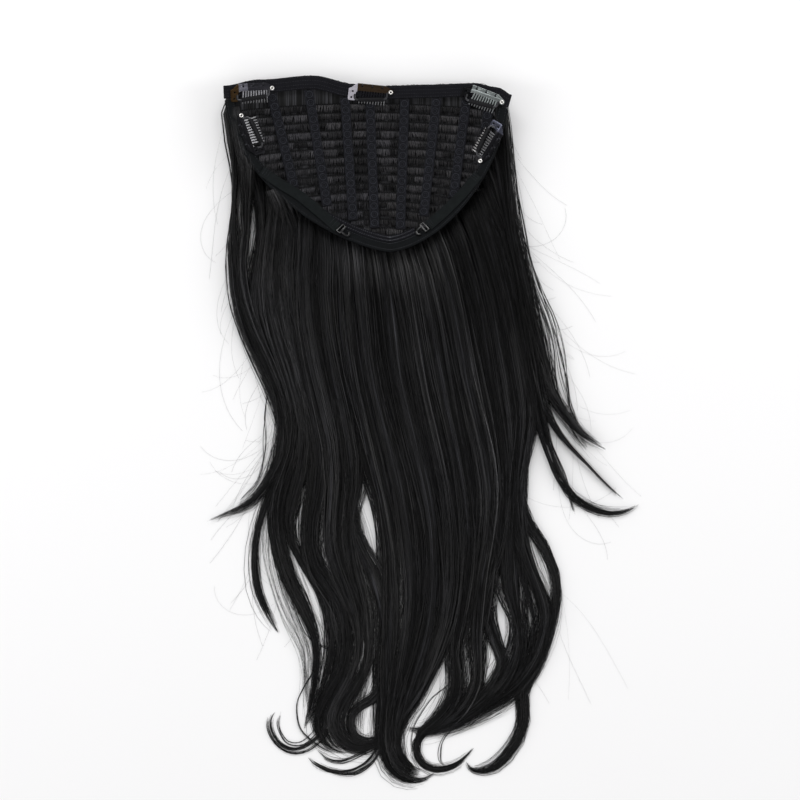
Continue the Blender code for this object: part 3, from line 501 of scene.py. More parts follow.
# Each tress: strands, then (right, down, width) on the grid from its root to its tip
tresses = {
    "leftEdge": (190, [
        (233, 96, 8), (229, 114, 12), (233, 145, 12), (235, 170, 8), (235, 190, 6),
        (234, 210, 6), (234, 226, 8), (235, 252, 12), (236, 275, 12), (238, 298, 13), (244, 321, 14), (254, 346, 15), (264, 368, 15),
        (271, 384, 15), (279, 410, 14), (282, 433, 13), (280, 453, 12), (273, 473, 10),
        (261, 492, 8), (246, 506, 6), (227, 514, 4), (206, 522, 1.5)]),
    "leftOver": (180, [
        (236, 108, 7), (237, 122, 9), (241, 142, 11), (245, 160, 12), (246, 178, 12),
        (246, 195, 10), (245, 215, 9), (245, 235, 9), (241, 262, 12), (245, 295, 14),
        (254, 325, 14), (275, 372, 14),
        (287, 410, 14), (292, 445, 12), (286, 480, 10), (279, 508, 8), (281, 545, 8),
        (293, 585, 7), (308, 614, 5), (316, 642, 1.5)]),
    "leftThin": (170, [
        (248, 138, 15), (252, 165, 18), (256, 187, 17), (262, 210, 12), (263, 240, 12),
        (257, 270, 14),
        (254, 298, 16), (257, 321, 16), (265, 346, 16), (275, 372, 16), (283, 400, 16), (288, 430, 14),
        (284, 460, 12), (273, 488, 8), (262, 512, 6), (255, 540, 5.5), (254, 566, 5.5),
        (257, 590, 5), (264, 608, 4.5), (271, 622, 3.5), (279, 636, 1.2)]),
    "leftBand": (190, [
        (268, 176, 14), (271, 200, 16), (270, 232, 18), (264, 268, 20), (264, 305, 22),
        (270, 335, 22), (279, 362, 22), (288, 392, 20), (292, 420, 18), (289, 450, 16),
        (280, 478, 13), (273, 505, 11), (276, 545, 11), (289, 585, 11), (306, 616, 10),
        (316, 645, 7), (316, 675, 6), (311, 703, 4), (303, 735, 1.2)]),
    "leftInner": (170, [
        (280, 190, 22), (275, 220, 24), (272, 255, 24), (272, 290, 24), (279, 330, 24),
        (289, 365, 24), (298, 400, 22), (304, 432, 20), (302, 465, 18), (294, 495, 14),
        (289, 520, 10), (293, 545, 8), (306, 567, 9), (320, 588, 10), (329, 613, 10),
        (332, 640, 10), (330, 662, 9), (322, 690, 7), (312, 714, 4), (303, 730, 1)]),
    "leftMain": (240, [
        (294, 202, 22), (290, 232, 24), (287, 265, 24), (288, 300, 24), (294, 340, 24),
        (302, 375, 24), (312, 410, 24), (319, 445, 24), (318, 480, 22), (312, 510, 18),
        (309, 535, 16), (312, 558, 16), (321, 577, 18), (333, 594, 18), (341, 613, 15),
        (344, 634, 12), (343, 654, 12), (338, 676, 12), (328, 695, 11), (320, 712, 10),
        (318, 728, 9), (325, 742, 7), (336, 751, 4), (350, 754, 1.2)]),
    "curlOuter": (220, [
        (308, 214, 24), (307, 245, 26), (305, 280, 26), (307, 320, 26), (314, 360, 26),
        (323, 400, 26), (332, 440, 26), (335, 480, 24), (332, 515, 20), (331, 545, 20),
        (338, 572, 22), (348, 598, 20), (355, 622, 13), (357, 642, 10), (355, 662, 10),
        (345, 686, 10), (334, 706, 11), (331, 724, 11), (339, 741, 10), (356, 750, 9),
        (374, 748, 8), (388, 738, 6), (394, 722, 1.5)]),
    "curlInner": (200, [
        (324, 224, 24), (326, 255, 26), (325, 290, 26), (328, 330, 26), (335, 370, 26),
        (344, 410, 26), (351, 450, 26), (353, 482, 22), (349, 512, 14), (349, 542, 16),
        (355, 572, 22), (363, 600, 18), (367, 620, 11), (369, 640, 8), (368, 656, 8),
        (364, 672, 8), (354, 690, 9), (343, 706, 10), (338, 722, 11), (343, 738, 10),
        (357, 747, 9), (372, 744, 6), (382, 732, 4), (385, 716, 1.2)]),
    "ringCurl": (150, [
        (334, 400, 12), (342, 450, 14), (345, 490, 14), (351, 525, 13), (362, 553, 15),
        (374, 578, 20), (381, 603, 20), (385, 630, 16), (385, 655, 12), (382, 680, 9),
        (375, 698, 7), (362, 706, 7), (353, 714, 6), (350, 726, 6), (355, 738, 6),
        (367, 743, 5), (378, 739, 3), (382, 729, 1)]),
    "centreLeft": (220, [
        (341, 232, 24), (344, 265, 26), (345, 300, 26), (348, 340, 26), (355, 380, 26),
        (364, 420, 26), (373, 460, 26), (382, 495, 20), (388, 530, 18), (392, 565, 22),
        (392, 600, 26), (391, 635, 26), (388, 665, 22), (385, 698, 17), (382, 730, 14),
        (384, 753, 11), (393, 772, 10), (408, 781, 7), (424, 781, 4), (440, 771, 1.2)]),
    "centre": (210, [
        (358, 238, 24), (362, 270, 26), (366, 310, 26), (370, 350, 26), (377, 390, 26),
        (387, 430, 26), (397, 470, 26), (405, 510, 26), (410, 550, 26), (412, 590, 26),
        (409, 625, 26), (403, 660, 24), (397, 695, 20), (391, 728, 14), (391, 750, 10),
        (399, 766, 7), (412, 775, 4), (426, 776, 1.2)]),
    "centreRight": (210, [
        (378, 241, 24), (384, 275, 26), (389, 315, 26), (394, 355, 26), (401, 395, 26),
        (410, 435, 26), (419, 475, 26), (427, 515, 26), (431, 555, 26), (431, 595, 26),
        (427, 630, 26), (419, 662, 24), (408, 693, 20), (399, 718, 15), (395, 740, 9),
        (401, 759, 6), (414, 770, 3), (428, 772, 1)]),
    "rightA": (200, [
        (397, 243, 24), (405, 275, 26), (412, 315, 26), (418, 355, 26), (425, 395, 26),
        (434, 435, 26), (443, 475, 26), (449, 515, 26), (452, 555, 26), (451, 590, 24),
        (446, 622, 22), (437, 652, 19), (427, 676, 16), (414, 701, 14), (402, 718, 10),
        (396, 735, 7), (398, 752, 5), (408, 765, 3), (421, 770, 1)]),
    "rightB": (200, [
        (415, 239, 24), (425, 270, 26), (434, 310, 26), (441, 350, 26), (448, 390, 26),
        (457, 430, 26), (465, 470, 26), (471, 510, 24), (472, 550, 24), (468, 585, 22),
        (462, 620, 20), (455, 648, 15), (457, 668, 15), (457, 690, 17), (450, 706, 16),
        (439, 720, 12), (427, 730, 8), (419, 739, 5.5), (416, 751, 5), (420, 763, 4.5),
        (430, 770, 4), (443, 771, 3.5), (457, 766, 3), (468, 757, 2), (477, 746, 1)]),
    "rightC": (190, [
        (432, 230, 24), (444, 262, 26), (454, 300, 26), (462, 340, 26), (469, 380, 26),
        (478, 420, 26), (486, 460, 26), (490, 500, 24), (487, 540, 24), (482, 575, 24),
        (479, 605, 22), (477, 640, 17), (479, 665, 14), (477, 688, 14), (466, 707, 13),
        (452, 721, 10), (436, 729, 7), (418, 731, 4), (402, 728, 1.2)]),
    "rightD": (190, [
        (448, 220, 24), (461, 250, 26), (472, 290, 26), (480, 330, 26), (487, 370, 26),
        (495, 410, 26), (502, 450, 24), (505, 490, 24), (502, 525, 24), (497, 560, 22),
        (487, 592, 16), (488, 612, 15), (493, 630, 13), (500, 650, 10), (504, 664, 9),
        (499, 684, 12), (484, 702, 11), (466, 716, 10), (446, 727, 8), (424, 732, 6),
        (404, 729, 2)]),
    "rightE": (210, [
        (464, 206, 22), (477, 235, 24), (488, 275, 24), (497, 315, 24), (503, 355, 24),
        (510, 395, 24), (514, 435, 22), (514, 475, 22), (512, 510, 22), (510, 545, 24),
        (510, 575, 28), (513, 598, 24), (518, 618, 15), (520, 636, 16), (519, 652, 18),
        (513, 670, 20), (503, 686, 20), (488, 701, 14), (468, 715, 10), (446, 728, 7),
        (420, 732, 2)]),
    "rightF": (170, [
        (474, 196, 20), (486, 228, 22), (498, 268, 22), (508, 308, 22), (515, 350, 20),
        (521, 390, 18), (523, 420, 16), (519, 452, 16), (515, 482, 16), (516, 510, 18),
        (520, 540, 20), (528, 565, 18), (536, 585, 20), (543, 603, 20), (546, 622, 18),
        (541, 647, 17), (534, 664, 17), (523, 681, 16), (508, 695, 13), (488, 707, 10),
        (466, 720, 8), (440, 732, 6), (412, 733, 2)]),
    "rightOuter": (160, [
        (480, 190, 20), (494, 222, 20), (507, 260, 20), (518, 300, 20), (525, 340, 18),
        (530, 380, 16), (533, 412, 14), (528, 446, 12), (521, 480, 11), (522, 507, 11),
        (529, 525, 11), (541, 541, 9), (552, 563, 7), (558, 584, 6.5), (557, 602, 7),
        (552, 622, 10), (546, 641, 11), (538, 660, 11), (527, 679, 11), (522, 694, 10),
        (524, 712, 9), (522, 731, 8.5), (512, 750, 8), (500, 764, 7.5), (488, 771, 6),
        (476, 772, 4), (469, 768, 2.5), (466, 761, 1)]),
    "rightEdge": (190, [
        (503, 100, 6), (505, 122, 8), (507, 150, 9), (510, 185, 10), (514, 222, 11),
        (521, 260, 11), (529, 300, 11), (537, 338, 11), (545, 366, 11), (552, 392, 9),
        (564, 411, 7), (579, 430, 5), (595, 442, 3.5), (613, 453, 1)]),
    "rightFlick": (90, [
        (490, 130, 14), (501, 180, 15), (510, 230, 14), (518, 270, 14), (526, 310, 14),
        (533, 350, 13), (539, 390, 12), (548, 416, 8), (564, 439, 4), (586, 462, 2),
        (607, 484, 1.5), (629, 504, 0.8)]),
    "rightSweep": (140, [
        (480, 158, 16), (495, 200, 18), (506, 245, 18), (515, 285, 18), (522, 325, 17),
        (529, 365, 15), (535, 400, 12), (543, 430, 8), (551, 456, 5.5), (560, 477, 5),
        (574, 497, 5), (592, 508, 5), (610, 513, 4.5), (627, 511, 3), (640, 504, 1)]),
    "rightVeil": (34, [
        (506, 195, 8), (518, 238, 10), (532, 280, 12), (546, 318, 15), (555, 352, 16),
        (561, 384, 14), (568, 412, 10), (578, 436, 6), (588, 452, 2)]),
    "rightWisp": (26, [
        (503, 240, 8), (513, 290, 8), (522, 340, 8), (530, 380, 7), (540, 420, 5),
        (553, 450, 3), (565, 478, 2.5), (572, 504, 2), (579, 523, 0.8)]),
    "leftVeil": (30, [
        (262, 360, 10), (270, 384, 12), (272, 410, 14), (270, 436, 14), (266, 462, 12),
        (258, 484, 8), (246, 500, 6), (232, 508, 2)]),
    "leftHook": (46, [
        (346, 630, 6), (345, 655, 6), (341, 675, 6), (337, 695, 6), (332, 714, 6),
        (326, 732, 6), (317, 743, 5.5), (303, 751, 5), (289, 751, 4.5), (277, 744, 4),
        (270, 731, 3.5), (270, 719, 3), (277, 709, 1)]),
    "leftHookFine": (14, [
        (344, 660, 3), (338, 690, 3), (329, 715, 3), (316, 732, 3), (302, 744, 3),
        (288, 744, 2.5), (280, 735, 2), (277, 724, 2), (281, 710, 1)]),
    "leftHookInner": (14, [
        (318, 650, 3), (312, 672, 2.5), (302, 690, 2), (296, 706, 2.2), (298, 728, 2.2),
        (308, 741, 2.5), (321, 750, 2.5), (335, 755, 1)]),
    "bottomArc": (56, [
        (392, 660, 8), (388, 690, 7), (386, 718, 7), (381, 746, 6), (371, 762, 5.5),
        (357, 771, 5.5), (343, 774, 4.5), (329, 772, 4), (316, 766, 3), (307, 757, 1)]),
    "bottomArcInner": (22, [
        (390, 690, 5), (386, 722, 5), (378, 744, 5), (362, 755, 5), (344, 764, 4),
        (328, 761, 3), (316, 750, 1.5)]),
    "bandOver": (120, [
        (274, 190, 12), (280, 206, 16), (285, 230, 22), (286, 262, 26), (290, 300, 26),
        (297, 340, 24), (306, 380, 20), (315, 420, 14)]),
    "leftTwin": (14, [
        (288, 560, 4), (297, 580, 4), (308, 602, 4), (316, 630, 3), (316, 650, 2.4), (315, 675, 2.4), (310, 702, 2),
        (302, 728, 0.8)]),
    "crossing": (7, [
        (292, 600, 2), (304, 630, 2), (313, 642, 1.8), (320, 646, 1.8), (330, 650, 1.8),
        (343, 651, 1)]),
    "innerArc": (20, [
        (404, 700, 6), (398, 730, 5), (398, 752, 4), (406, 767, 3), (420, 773, 1)]),
    "webLeft": (55, [
        (296, 420, 8), (293, 470, 14), (286, 515, 26), (288, 555, 34), (304, 600, 42),
        (322, 650, 38), (325, 700, 36), (322, 740, 20)]),
    "webInner": (55, [
        (338, 480, 20), (345, 550, 44), (352, 610, 44), (354, 660, 34), (350, 700, 30),
        (352, 740, 20)]),
    "webMiddle": (50, [
        (375, 560, 40), (378, 620, 40), (376, 680, 40), (370, 730, 30), (372, 760, 10)]),
    "webRight": (58, [
        (470, 500, 50), (478, 570, 84), (482, 620, 90), (478, 670, 80), (458, 705, 50),
        (430, 728, 20), (410, 735, 8)]),
    "webOuter": (40, [
        (510, 450, 8), (513, 490, 12), (529, 540, 26), (542, 585, 30), (540, 630, 26),
        (524, 680, 24),
        (500, 700, 20), (470, 715, 10)]),
    "fineArc": (5, [
        (474, 640, 3), (462, 668, 1.5), (448, 686, 1.2), (432, 699, 1.2), (420, 716, 1.2),
        (413, 730, 1.2), (411, 748, 1), (418, 766, 0.6)]),
    "fineLoop": (8, [
        (512, 682, 3), (488, 704, 2.4), (466, 720, 2.2), (451, 731, 2), (442, 743, 2),
        (439, 755, 2), (441, 764, 1.6), (449, 768, 0.8)]),
}
tressGroups = {
    "hairLeft": ["leftEdge", "leftOver", "bandOver", "leftThin", "leftBand", "leftInner", "leftMain",
                 "leftTwin", "crossing", "leftVeil"],
    "hairMiddleLeft": ["curlOuter", "curlInner", "ringCurl", "centreLeft", "centre",
                       "leftHook", "leftHookFine", "leftHookInner", "webLeft", "webInner",
                       "webMiddle"],
    "hairMiddleRight": ["centreRight", "rightA", "rightB", "rightC", "rightD", "bottomArc",
                        "bottomArcInner", "innerArc"],
    "hairRight": ["rightE", "rightF", "rightOuter", "rightEdge", "rightFlick", "rightSweep",
                  "rightWisp", "rightVeil", "fineArc", "fineLoop", "webRight",
                  "webOuter"],
}


def hairCeiling(x, y):
    reach = rimReach(x, y)
    out = smoothStep((reach - 1) * 0.12 / 0.026)
    scale = 1 / np.maximum(reach, 1)
    rim = capHeight(x * scale, y * scale) - fall["underCap"]
    return rim * (1 - out) + np.interp(-y, fall["down"], fall["height"]) * out


def tressGuide(route):
    points = smoothRoute(route, 400)
    table = np.array([tuple(point) for point in points])
    x = (table[:, 0] - grid["capX"]) * grid["step"]
    y = -(table[:, 1] - grid["capY"]) * grid["step"]
    along = np.gradient(np.stack([x, y], axis=1), axis=0)
    along /= np.linalg.norm(along, axis=1, keepdims=True)
    return {"x": x, "y": y, "sideX": -along[:, 1], "sideY": along[:, 0],
            "width": np.maximum(table[:, 2], 0.6) * grid["step"]}


def tressCeiling(x, y, width):
    top = hairCeiling(x, y)
    loose = smoothStep((-y - 0.32) / 0.12)
    own = np.minimum(top, 0.45 * width + 0.0012)
    return top * (1 - loose) + own * loose


def sampleGuide(guide, share):
    places = np.linspace(0, 1, len(guide["x"]))
    return [np.interp(share, places, guide[key])
            for key in ("x", "y", "sideX", "sideY", "width")]


paintedLight = {  # painted light on the hair's tone: spots of painted highlight (right, up, half across, half down, amount), and dimRight, the painted shade that takes sheen off on the right side near the cap
    "spots": [(0.018, -0.165, 0.056, 0.012, 1.4), (-0.088, -0.178, 0.024, 0.060, 0.55),
              (-0.062, -0.270, 0.030, 0.060, 0.30), (0.025, -0.460, 0.045, 0.050, 0.30)],
    "dimRight": 0.5}
overBand = {"tresses": ["leftOver", "bandOver"], "reach": 0.018, "lift": 0.0032}


def growTress(name, steps):
    count, route = tresses[name]
    guide = tressGuide(route)
    clumps = max(2, count // 22)
    clumpAt = np.linspace(-0.85, 0.85, clumps) + chance.normal(0, 0.10, clumps)
    clumpEnd = chance.uniform(0.92, 1.0, clumps)
    clumpTurn = chance.uniform(0, 2 * math.pi, clumps)
    clumpWaves = chance.uniform(0.9, 2.2, clumps)
    clumpTone = chance.uniform(0.45, 1.0, clumps)
    wisps = max(3, count // 4)
    wispClump = chance.integers(0, clumps, wisps)
    wispAt = chance.normal(0, 0.28, wisps)
    wispTone = chance.random(wisps) ** 2.5
    wispDepth = chance.random(wisps) ** 1.3
    wispTurn = chance.uniform(0, 2 * math.pi, wisps)
    wispWaves = chance.uniform(1.2, 4.6, wisps)
    wisp = chance.integers(0, wisps, count)
    own = wispClump[wisp]
    end = np.clip(clumpEnd[own] - np.abs(chance.normal(0, 0.05, count)), 0.6, 1)
    share = 1 - (1 - np.linspace(0, 1, steps)) ** 1.15
    share = share[None, :] * end[:, None]
    x, y, sideX, sideY, width = sampleGuide(guide, share)
    loose = smoothStep((share - 0.45) / 0.5)
    spread = wispAt[wisp] + chance.normal(0, 0.07, count)
    limit = 1.4 - 0.3 * loose
    crossing = (chance.random(count) < 0.30) * chance.normal(0, 1.0, count)
    across = clumpAt[own][:, None] + spread[:, None] * (1 - 0.5 * loose)
    across = across + crossing[:, None] * (share - 0.35)
    across = np.clip(across, -limit, limit)
    sway = np.sin(2 * math.pi * share * clumpWaves[own][:, None] + clumpTurn[own][:, None])
    bend = np.sin(2 * math.pi * share * wispWaves[wisp][:, None] + wispTurn[wisp][:, None])
    ripple = np.sin(2 * math.pi * share * chance.uniform(1.5, 4.0, count)[:, None]
                    + chance.uniform(0, 6.28, count)[:, None])
    wander = sway * (1.5 + 0.5 * loose) + bend * 1.0
    wander = wander + ripple * chance.uniform(0.0, 0.8, count)[:, None] * (1 + 1.2 * loose)
    stray = (chance.random(count) < 0.24) * chance.normal(0, 6.0, count)
    wander = wander + stray[:, None] * loose ** 1.5
    wander = wander * smoothStep(share * 5)
    offset = across * width / 2 + wander * grid["step"] * np.minimum(width / 0.009, 1)
    x = x + sideX * offset
    y = y + sideY * offset
    depth = 1 - 0.75 * wispDepth[wisp][:, None] - 0.06 * chance.random(count)[:, None]
    depth = depth + 0.08 * bend
    clumpRise = chance.uniform(0.72, 1.0, clumps)[own][:, None]
    crown = 1 - (0.2 + 0.5 * loose) * np.clip(across, -1, 1) ** 2
    z = tressCeiling(x, y, width) * crown * np.clip(depth, 0.1, 1.02) * clumpRise
    if name in overBand["tresses"]:
        out = smoothStep((rimReach(x, y) - 1) * 0.12 / overBand["reach"])
        over = hairCeiling(x, y) + fall["underCap"] + overBand["lift"]
        z = z * out + (over - 0.0005 * chance.random(count)[:, None]) * (1 - out)
    z = np.maximum(z, 0.0003)
    thick = fall["strand"] * chance.uniform(0.75, 1.2, count)
    if name.startswith("web"):
        thick = thick * fall["web"]
    taper = np.interp(share / end[:, None], [0, 0.85, 1], [1, 1, 0.35])
    # Painted sheen that rises and falls along each strand, and painted shade towards the edges of each wisp
    sheenAndShade = 0.72 + 0.28 * np.sin(2 * math.pi * share * 2.3 + clumpTurn[own][:, None])
    sheenAndShade = sheenAndShade * (1 - 0.55 * np.minimum(np.abs(spread) / 0.5, 1)[:, None])
    # Each strand's tone, the amount of painted sheen it shows, differs at random by clump, wisp and strand
    tone = wispTone[wisp] * clumpTone[own] * chance.uniform(0.1, 1.0, count)
    tone = tone + chance.random(count) ** 5 * 0.55
    # Painted highlights: the gloss spots raise the tone, more on some wisps than on others
    paintedGlow = sum(amount * np.exp(-((x - right) / across) ** 4 - ((y - up) / down) ** 2)
               for right, up, across, down, amount in paintedLight["spots"])
    paintedGlow = paintedGlow * (0.08 + wispTone[wisp] * chance.random(count))[:, None]
    tone = tone[:, None] * sheenAndShade + paintedGlow
    # Painted shade: less painted sheen on the right side near the cap
    tone = tone * (1 - paintedLight["dimRight"] * smoothStep((x - 0.07) / 0.03)
                   * smoothStep((y + 0.26) / 0.05))
    return (np.stack([x, y, z], axis=2), thick[:, None] * taper, np.clip(tone, 0, 1))


def growHair():
    for piece, names in tressGroups.items():
        grown = [growTress(name, fall["steps"]) for name in names]
        strandPiece(piece, np.concatenate([row[0] for row in grown]),
                    np.concatenate([row[1] for row in grown]),
                    np.concatenate([row[2] for row in grown]), strandMaterial)
        print(piece, sum(len(row[2]) for row in grown), "strands")


coreShape = {"across": [-0.98, -0.8, -0.4, 0.0, 0.4, 0.8, 0.98, 0.6, -0.6],
             "height": [0.10, 0.42, 0.58, 0.62, 0.58, 0.42, 0.10, 0.02, 0.02], "steps": 34,
             "least": 0.0063, "full": 0.016, "narrowest": 0.0095, "fewest": 60,
             "thinning": 0.4}


def loftFaces(rings, sides, start):
    faces = []
    for ring in range(rings - 1):
        for side in range(sides):
            after = (side + 1) % sides
            faces.append((start + ring * sides + side, start + (ring + 1) * sides + side,
                          start + (ring + 1) * sides + after, start + ring * sides + after))
    faces.append(tuple(start + side for side in range(sides)))
    faces.append(tuple(start + (rings - 1) * sides + side for side in reversed(range(sides))))
    return faces


def addCores():
    points, faces, lay = [], [], []
    sides = len(coreShape["across"])
    for name, (count, route) in tresses.items():
        guide = tressGuide(route)
        if guide["width"].max() < coreShape["narrowest"] or count < coreShape["fewest"]:
            continue
        last = 1 - np.argmax(guide["width"][::-1] > coreShape["least"]) / len(guide["width"])
        share = np.linspace(0, last, coreShape["steps"])
        x, y, sideX, sideY, width = sampleGuide(guide, share)
        fill = 0.1 + 0.37 * smoothStep((width - coreShape["least"])
                                       / (coreShape["full"] - coreShape["least"]))
        fill = fill * (1 - coreShape["thinning"] * smoothStep((-y - 0.38) / 0.10))
        start = len(points)
        for step in range(coreShape["steps"]):
            for a, b in zip(coreShape["across"], coreShape["height"]):
                px = x[step] + sideX[step] * a * width[step] * fill[step]
                py = y[step] + sideY[step] * a * width[step] * fill[step]
                top = float(tressCeiling(px, py, width[step]))
                points.append((px + capPlace.x, py + capPlace.y, max(top * b, 0.0002)))
                lay.append((a * width[step] * 20, share[step] * 4))
        faces += loftFaces(coreShape["steps"], sides, start)
    edge = [rimPoint(2 + 172 * step / 40) for step in range(41)]
    edge += [Vector((x, frontEdge(x) - 0.001)) for x in np.linspace(0.110, -0.110, 17)]
    middle = Vector((0.0, -0.06))
    start = len(points)
    rings = [(0.15, 1.0), (0.4, 1.0), (0.65, 1.0), (0.85, 1.0), (0.975, 1.0), (0.995, 0.8),
             (0.985, 0.45), (0.93, 0.02)]
    for share, rise in rings:
        for spot in edge:
            at = middle.lerp(spot, share)
            height = (float(capHeight(at.x, at.y)) - 0.0026) * rise
            points.append((at.x + capPlace.x, at.y + capPlace.y, height))
            lay.append((at.x * 20, at.y * 8))
    faces += loftFaces(len(rings), len(edge), start)
    piece = meshPiece("hairMass", points, faces, coreMaterial, nodes=("hair",))
    bpy.context.view_layer.objects.active = piece
    piece.select_set(True)
    layer = piece.data.uv_layers.new(name="lay")
    corner = np.zeros(len(piece.data.loops), np.int32)
    piece.data.loops.foreach_get("vertex_index", corner)
    layer.data.foreach_set("uv", np.array(lay, np.float32)[corner].ravel())
    bpy.ops.object.mode_set(mode="EDIT")
    bpy.ops.mesh.select_all(action="SELECT")
    bpy.ops.mesh.normals_make_consistent(inside=False)
    bpy.ops.object.mode_set(mode="OBJECT")
    piece.select_set(False)
    print("hair mass", len(faces), "faces")


def addFrontHair():
    count, steps = 520, 8
    x = chance.uniform(-0.124, 0.124, count)
    start = np.array([frontEdge(value) for value in x]) - 0.0012
    height = capHeight(x, start) - 0.0008
    share = np.linspace(0, 1, steps)[None, :]
    drift = chance.normal(0, 0.004, count)[:, None]
    bulge = chance.uniform(0.0004, 0.0026, count)[:, None]
    paths = np.stack([x[:, None] + drift * share ** 1.5,
                      start[:, None] + bulge * np.sin(math.pi * share * 0.9) ** 0.5
                      - 0.004 * share ** 3,
                      height[:, None] * (1 - share ** 1.3) + 0.0006], axis=2)
    widths = np.full((count, steps), fall["strand"])
    strandPiece("hairUnderFront", paths, widths, chance.random(count) ** 2 * 0.6,
                strandMaterial)


flyaways = {"count": 130, "steps": 26, "reach": (0.200, 0.322), "thin": 0.00006,
            "thick": 0.00013,
            "from": ["leftEdge", "leftThin", "leftEdge", "leftVeil", "leftBand", "rightEdge",
                     "rightSweep", "rightOuter", "rightVeil", "rightEdge"]}


def addFlyaways():
    paths = []
    guides = {name: tressGuide(tresses[name][1]) for name in set(flyaways["from"])}
    share = np.linspace(0, 1, flyaways["steps"])
    while len(paths) < flyaways["count"]:
        name = flyaways["from"][len(paths) % len(flyaways["from"])]
        guide = guides[name]
        at = chance.integers(20, 340)
        outwards = -1 if name.startswith("left") else 1
        heading = math.radians(-90 + outwards * chance.uniform(0, 60))
        heading = heading + chance.normal(0, 0.8) * share + chance.normal(0, 0.8) * share ** 2
        stride = chance.uniform(0.03, 0.13) / flyaways["steps"]
        x = guide["x"][at] + np.cumsum(np.cos(heading)) * stride
        y = guide["y"][at] + np.cumsum(np.sin(heading)) * stride
        inside = (np.abs(x + capPlace.x).max() < flyaways["reach"][0]
                  and np.abs(y + capPlace.y).max() < flyaways["reach"][1])
        if inside:
            z = 0.0006 + hairCeiling(x, y) * (1 - smoothStep(share * 3)) * 0.9
            paths.append(np.stack([x, y, z], axis=1))
    thick = chance.uniform(flyaways["thin"], flyaways["thick"], len(paths))
    strandPiece("flyawayHairs", np.array(paths),
                np.repeat(thick[:, None], flyaways["steps"], axis=1),
                chance.random(len(paths)) * 0.6, strandMaterial)


addCores()
growHair()
addFrontHair()
addFlyaways()
print("hair grown")


# The cap: tapes, wefts, ribbons and straps

tapes = {"bandWidth": 0.0115, "edgeWidth": 0.008, "thickness": 0.0029, "napeWidth": 0.006,
         "napeThickness": 0.0024, "seamGap": 0.0008, "stitch": 0.0022}
wefts = {"count": 15, "pitch": 0.008, "width": 0.0032, "thickness": 0.0016, "sag": 0.009}
ribbons = {
    "width": 0.0085, "thickness": 0.001, "seat": 0.0006, "ringPitch": 0.0074,
    "lines": [(-0.67, -0.51, 0.62), (-0.41, -0.25, 0.88), (-0.155, -0.09, 0.92),
              (0.02, 0.06, 0.98), (0.265, 0.23, 0.98), (0.49, 0.38, 0.92),
              (0.70, 0.60, 0.72), (0.86, 0.82, 0.34)],
}
straps = {
    "width": 0.009, "thickness": 0.0012,
    "strapLeft": [(-0.735, 0.521), (-0.600, 0.600), (-0.469, 0.669), (-0.330, 0.765),
                  (-0.203, 0.859)],
    "strapRight": [(0.777, 0.545), (0.665, 0.657), (0.532, 0.770), (0.427, 0.847)],
}
rimLine = np.array([tuple(rimPoint(angle)) for angle in range(0, 181, 2)])


def fromRim(point):
    return float(np.min(np.hypot(rimLine[:, 0] - point.x, rimLine[:, 1] - point.y)))


def rimMargin(point):
    margin = tapes["edgeWidth"] + tapes["seamGap"]
    nape = rimPoint(90)
    if abs(point.x - nape.x) < cap["width"] * 0.27 and -point.y > cap["depth"] * 0.72:
        margin += tapes["napeWidth"] + cap["fitGap"]
    return margin


def routePoint(route, share):
    place = min(max(share, 0), 1) * (len(route) - 1)
    first = min(int(place), len(route) - 2)
    return route[first].lerp(route[first + 1], place - first)


def routeSide(route, share):
    step = 0.5 / (len(route) - 1)
    along = (routePoint(route, share + step) - routePoint(route, share - step)).normalized()
    return Vector((-along.y, along.x))


def layStrip(name, route, width, lift, thickness, across, crown, material, node,
             edge=0.0004):
    bpy.ops.object.select_all(action="DESELECT")
    bpy.ops.mesh.primitive_grid_add(x_subdivisions=(len(route) - 1), y_subdivisions=across,
                                    size=1)
    piece = bpy.context.object
    for vertex in piece.data.vertices:
        u, v = vertex.co.x + 0.5, vertex.co.y + 0.5
        spot = routePoint(route, u) + routeSide(route, u) * (v - 0.5) * width
        height = float(capHeight(spot.x, spot.y)) + lift
        height += crown * (1 - (2 * v - 1) ** 2)
        vertex.co = (spot.x + capPlace.x, spot.y + capPlace.y, height)
    solid = piece.modifiers.new("thickness", "SOLIDIFY")
    solid.thickness = thickness
    solid.offset = 1
    bpy.ops.object.modifier_apply(modifier="thickness")
    round_ = piece.modifiers.new("edges", "BEVEL")
    round_.width = edge
    round_.segments = 2
    round_.limit_method = "ANGLE"
    round_.angle_limit = math.radians(50)
    bpy.ops.object.modifier_apply(modifier="edges")
    bpy.ops.object.shade_smooth_by_angle(angle=math.radians(50))
    return finishPiece(piece, name, material, "hairpiece", (node,))


def strew(name, master, places, material, body="hairpiece", nodes=()):
    source = [vertex.co.copy() for vertex in master.data.vertices]
    loops = [tuple(face.vertices) for face in master.data.polygons]
    points, faces = [], []
    for place in places:
        start = len(points)
        points += [tuple(place @ co) for co in source]
        faces += [tuple(start + index for index in loop) for loop in loops]
    return meshPiece(name, points, faces, material, body, nodes)


def makeMaster(add, **values):
    bpy.ops.object.select_all(action="DESELECT")
    add(**values)
    return bpy.context.object


def dropMaster(master):
    bpy.data.objects.remove(master, do_unlink=True)


stitchMaster = makeMaster(bpy.ops.mesh.primitive_uv_sphere_add, segments=5, ring_count=3,
                          radius=0.5)
ringMaster = makeMaster(bpy.ops.mesh.primitive_torus_add, major_segments=16,
                        minor_segments=4, major_radius=0.0029, minor_radius=0.00036)


def surfaceFrame(x, y, heading, lift):
    step = 0.002
    slopeX = float(capHeight(x + step, y) - capHeight(x - step, y)) / (2 * step)
    slopeY = float(capHeight(x, y + step) - capHeight(x, y - step)) / (2 * step)
    normal = Vector((-slopeX, -slopeY, 1)).normalized()
    along = Vector((math.cos(heading), math.sin(heading), 0))
    along = (along - along.dot(normal) * normal).normalized()
    place = Matrix((along, normal.cross(along), normal)).transposed().to_4x4()
    place.translation = Vector((x, y, float(capHeight(x, y)))) + lift * normal + capPlace
    return place


